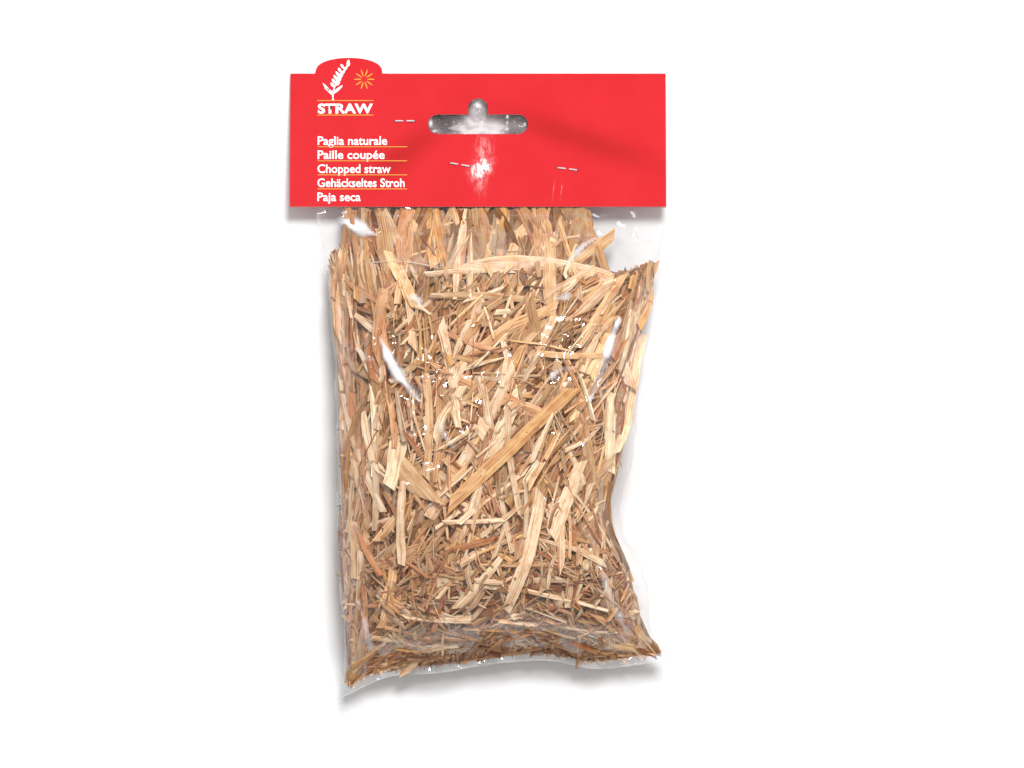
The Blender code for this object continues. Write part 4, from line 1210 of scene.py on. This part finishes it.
def straw_heart(material):
    """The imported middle: the bag's section drawn in by up to 6.5 mm, made lumpy by value noise, and closed to
    a point at both ends."""
    angle = np.linspace(0, 2 * math.pi, HEART_COLUMNS, endpoint=False)
    A, share = np.meshgrid(-0.93 * np.cos(angle), np.linspace(0, 1, 100))
    first = fill_top(A * 1.05) + 0.05
    T = first + (0.955 - first) * share
    A = A * np.where(A > 0, (fill_right(T) - 0.09) / 0.93, 0.93)
    U = np.broadcast_to(np.sin(angle) >= -1e-9, A.shape)
    x = across_x(A, T)
    y = BAG_TOP_Y - T * seal_drop(x)
    high, low = front_z(A, T), back_z(A, T)
    inset = np.minimum(6.5 * MM, (high - low) * 0.36)
    lump = 0.7 * MM * ripple(x / MM / 4, y / MM / 6 + np.where(U, 0, 9), 31)
    lump = lump * np.clip((high - low) / (8 * MM), 0, 1)
    z = np.where(U, high - inset + lump, low + inset - lump)
    points = np.stack([x, y, z], -1)
    tips = points.mean(axis=1)[[0, -1], None].repeat(HEART_COLUMNS, 1)
    rows = np.concatenate([tips[:1], points, tips[1:]])
    faces = grid_faces(len(rows), HEART_COLUMNS, closed=True).reshape(-1, 4)
    mesh = build_mesh("straw_heart", rows.reshape(-1, 3), faces)
    return piece("straw_heart", mesh, material)


NODE_RINGS = 9


def node_line(node, steps):
    """A CAD straw's line along the long axis of its plan: its start, its end, its width and its heights."""
    points = mesh_points(frame["nodes"][node].data).astype(float)
    middle = points.mean(0)
    plan = points[:, :2] - middle[:2]
    axis = np.linalg.svd(plan, full_matrices=False)[2][0]
    along = plan @ axis
    across = plan @ np.array([-axis[1], axis[0]])
    order = np.argsort(along)
    heights = np.interp(np.linspace(along.min(), along.max(), steps), along[order], points[order, 2])
    low, high = middle[:2] + axis * along.min(), middle[:2] + axis * along.max()
    return np.array([*low, heights[0]]), np.array([*high, heights[-1]]), np.ptp(across), heights


def named_straws(material):
    """A finer straw for each straw node of the CAD part, on the same line: (node, piece) for each."""
    made = []
    for k, node in enumerate(sorted(n for n in frame["nodes"] if "_straw_" in n)):
        rng = np.random.default_rng(500 + k)
        start, end, width, heights = node_line(node, NODE_RINGS)
        names, weights = ["cream", "pale", "gold", "tan"], [4, 6, 3, 1]
        if node.startswith("hollow"):
            names, weights = ["cream", "pale"], [1, 1]
        colours = straw_colours(names, weights, 1, rng)
        mesh = straw_mesh(
            node + "_skin",
            start[None],
            end[None],
            np.array([min(width * 0.85, 4.4 * MM)]),
            np.array([[0.0, 0.0, 1.0]]),
            rng,
            colours,
            rings=NODE_RINGS,
            curl=0.12,
            taper=rng.uniform(0, 0.35, (1, 2)),
        )
        points = mesh_points(mesh).reshape(NODE_RINGS, -1, 3)
        chord = np.linspace(start[2], end[2], NODE_RINGS)
        points[..., 2] += (heights - chord)[:, None]
        mesh.vertices.foreach_set("co", points.ravel())
        made.append((node, piece(node + "_skin", mesh, material)))
    return made


# ---------------------------------------------------------------- print on the card


INK_LIFT = 0.02 * MM  # over the card's front face


def printed_words(card, words, size, x, y, width, material, name, bold):
    """A line of words as flat ink, its left end at x, drawn as wide as width."""
    text = bpy.data.curves.new(name, "FONT")
    text.body = words
    text.size = size
    text.offset = bold
    text.fill_mode = "FRONT"
    text.resolution_u = 4
    drawn = bpy.data.objects.new(name + "_drawn", text)
    bpy.context.scene.collection.objects.link(drawn)
    bpy.context.view_layer.update()
    mesh = bpy.data.meshes.new_from_object(drawn.evaluated_get(bpy.context.evaluated_depsgraph_get()))
    bpy.data.objects.remove(drawn)
    points = mesh_points(mesh)
    points[:, 0] = (points[:, 0] - points[:, 0].min()) * width / np.ptp(points[:, 0])
    mesh.vertices.foreach_set("co", points.ravel())
    mesh.transform(card.at(x, y, INK_LIFT))
    return piece(name, mesh, material)


def flat_leaves(card, name, x, y, leaves, material):
    """Pointed ovals as flat ink: each leaf is (centre x, centre y, length, width, degrees turned), in mm."""
    steps = 14
    a = np.linspace(0, 2 * math.pi, steps, endpoint=False)
    points = []
    for cx, cy, long, wide, turn in leaves:
        u, v = long / 2 * np.cos(a), wide / 2 * np.sin(a) * np.abs(np.sin(a)) ** 0.5
        c, s = math.cos(math.radians(turn)), math.sin(math.radians(turn))
        points.append(np.stack([cx + c * u - s * v, cy + s * u + c * v, 0 * u], -1))
    faces = np.arange(len(leaves) * steps).reshape(-1, steps)
    mesh = build_mesh(name, np.concatenate(points) * MM, faces, shade=False)
    mesh.transform(card.at(x, y, INK_LIFT))
    return piece(name, mesh, material)


def emblem(card, x, y, white, orange):
    """A generic mark: an ear of wheat on a bent stalk, with a small spark beside it."""
    grains = []
    for k in range(6):
        up = -1.4 + 1.2 * k
        bend = 0.035 * (up + 6) ** 2 - 1.4
        for side in (-1, 1):
            grains.append((bend + side * 0.92, up + 0.5 * (side > 0), 1.9, 0.9, 90 - side * 34))
    grains.append((0.035 * 11.6**2 - 1.3, 5.9, 2.0, 0.9, 74))
    for k in range(9):
        up = -6.0 + 1.0 * k
        grains.append((0.035 * (up + 6) ** 2 - 1.4, up, 1.5, 0.55, 88 - 4 * k))
    for side, turn, long in ((-1, 128, 5.2), (1, 42, 4.6), (-1, 150, 3.6)):
        grains.append((-1.4 + side * long * 0.32, -4.4 + 0.3 * long, long, 0.9, turn))
    ear = flat_leaves(card, "print_wheat_ear", x, y, grains, white)
    turns = np.arange(0, 6.2, math.pi / 5)
    rays = [(2.1 * math.cos(a), 2.1 * math.sin(a), 2.6, 0.5, math.degrees(a)) for a in turns]
    spark = flat_leaves(card, "print_spark", x + 8.6 * MM, y + 0.4 * MM, rays, orange)
    return [ear, spark]


def printed_rule(card, x, y, length, height, material, name):
    """A thin straight rule as flat ink."""
    corners = np.array([[0, 0, 0], [length, 0, 0], [length, height, 0], [0, height, 0]])
    mesh = build_mesh(name, corners, np.array([[0, 1, 2, 3]]), shade=False)
    mesh.transform(card.at(x, y, INK_LIFT))
    return piece(name, mesh, material)


def printed(card, white, orange):
    """All the print: an emblem, one large word between two rules, and five lines of words with rules."""
    left = card.left + 8.8 * MM
    made = emblem(card, left + 6.2 * MM, card.low + 41.0 * MM, white, orange)
    y = card.low + 30.4 * MM
    made.append(printed_words(card, "STRAW", 4.3 * MM, left, y, 17.6 * MM, white, "print_title", 0.16 * MM))
    for k, height in enumerate((29.6, 34.3)):
        y = card.low + height * MM
        made.append(printed_rule(card, left - 0.2 * MM, y, 18 * MM, 0.32 * MM, orange, f"print_bar_{k}"))
    words = [("Paglia naturale", 22.2), ("Paille coupée", 21.4), ("Chopped straw", 23.4)]
    words += [("Gehäckseltes Stroh", 27.8), ("Paja seca", 13.8)]
    for k, (line, width) in enumerate(words):
        y = card.low + (20.1 - 4.56 * k) * MM
        name = f"print_line_{k + 1}"
        made.append(printed_words(card, line, 3.9 * MM, left, y, width * MM, white, name, 0.07 * MM))
        if k:
            y = y + 3.75 * MM
            made.append(printed_rule(card, left, y, 28.6 * MM, 0.3 * MM, orange, f"print_rule_{k}"))
    return made


# ---------------------------------------------------------------- table, lights and camera


def table_top(material):
    """A flat table 6 m square, so that no view sees its edge."""
    corners = np.array([[-3, -3, 0], [3, -3, 0], [3, 3, 0], [-3, 3, 0]], float)
    mesh = build_mesh("table_top", corners, np.array([[0, 1, 2, 3]]), shade=False)
    floor = piece("table_top", mesh, material)


def area_light(name, place, size, power, glossy=True, diffuse=True):
    """A round lamp that points at the pack's middle and can be kept out of the gloss or the soft light."""
    data = bpy.data.lights.new(name, "AREA")
    data.shape = "DISK"
    data.size = size
    data.energy = power
    lamp = bpy.data.objects.new(name, data)
    bpy.context.scene.collection.objects.link(lamp)
    lamp.location = place
    lamp.rotation_euler = (-Vector(place)).to_track_quat("-Z", "Y").to_euler()
    lamp.visible_glossy = glossy
    lamp.visible_diffuse = diffuse


def studio():
    """A bright even room, a large soft key from above the card, and two small lamps for the film's glints."""
    world = bpy.data.worlds.new("studio")
    bpy.context.scene.world = world
    world.use_nodes = True
    sky = world.node_tree.nodes["Background"]
    sky.inputs["Color"].default_value = linear("#FFFFFF")
    sky.inputs["Strength"].default_value = 0.5
    area_light("key_softbox", (0.17, 0.70, 1.15), 0.42, 17.5, glossy=False)
    area_light("left_glint", (-0.42, 0.30, 1.4), 0.12, 5.0, diffuse=False)
    area_light("right_glint", (0.55, 0.45, 1.2), 0.16, 3.0, diffuse=False)
    bpy.context.scene.view_settings.view_transform = "Standard"


def camera():
    """Straight down. The view is centred a little right of and below the middle of the pack."""
    data = bpy.data.cameras.new("camera")
    seen_width, distance = 327.7 * MM, 2.2
    data.sensor_width = 36
    data.lens = data.sensor_width * distance / seen_width
    eye = bpy.data.objects.new("camera", data)
    bpy.context.scene.collection.objects.link(eye)
    eye.location = (10.2 * MM, -2.3 * MM, distance)
    bpy.context.scene.camera = eye


# ---------------------------------------------------------------- the pack


def main():
    card = CardPlane()
    straw = dry_split_straw()
    film = clear_polypropylene()
    red = coated_card(card)
    wire = drawn_steel_wire()
    white_ink = printing_ink("white_ink", "#FBF4F2", "#FFFFFF")
    orange_ink = printing_ink("orange_ink", "#F08A2C", "#F59A3E")

    finishes = {"header_card": red, "bag_mouth_film": film}
    finishes.update({f"staple_{place}": wire for place in ("left", "middle", "right")})
    for node, finish in finishes.items():
        slots_of_node = frame["nodes"][node].data.materials
        slots_of_node.clear()
        slots_of_node.append(finish)

    bag = film_bag(card, film)
    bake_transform(bag)
    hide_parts("bag_film")
    flaps = slot_flaps(card, crumpled_film())
    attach(flaps, HEADER)

    # The heart is painted dark brown: painted shade seen in the gaps between the straws.
    heart = straw_heart(painted_gap_shade())
    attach(heart, ROOT)
    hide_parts("straw_fill")
    for made in [side_straws(straw)] + loose_straw(straw) + chaff(straw):
        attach(made, ROOT)
    reaching = neck_straws(card, straw)
    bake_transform(reaching)
    for node, made in named_straws(straw):
        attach(made, ROOT)
        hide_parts(node)

    for made in printed(card, white_ink, orange_ink):
        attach(made, HEADER)

    table_top(matt_table())
    studio()
    camera()


main()
bpy.context.view_layer.update()
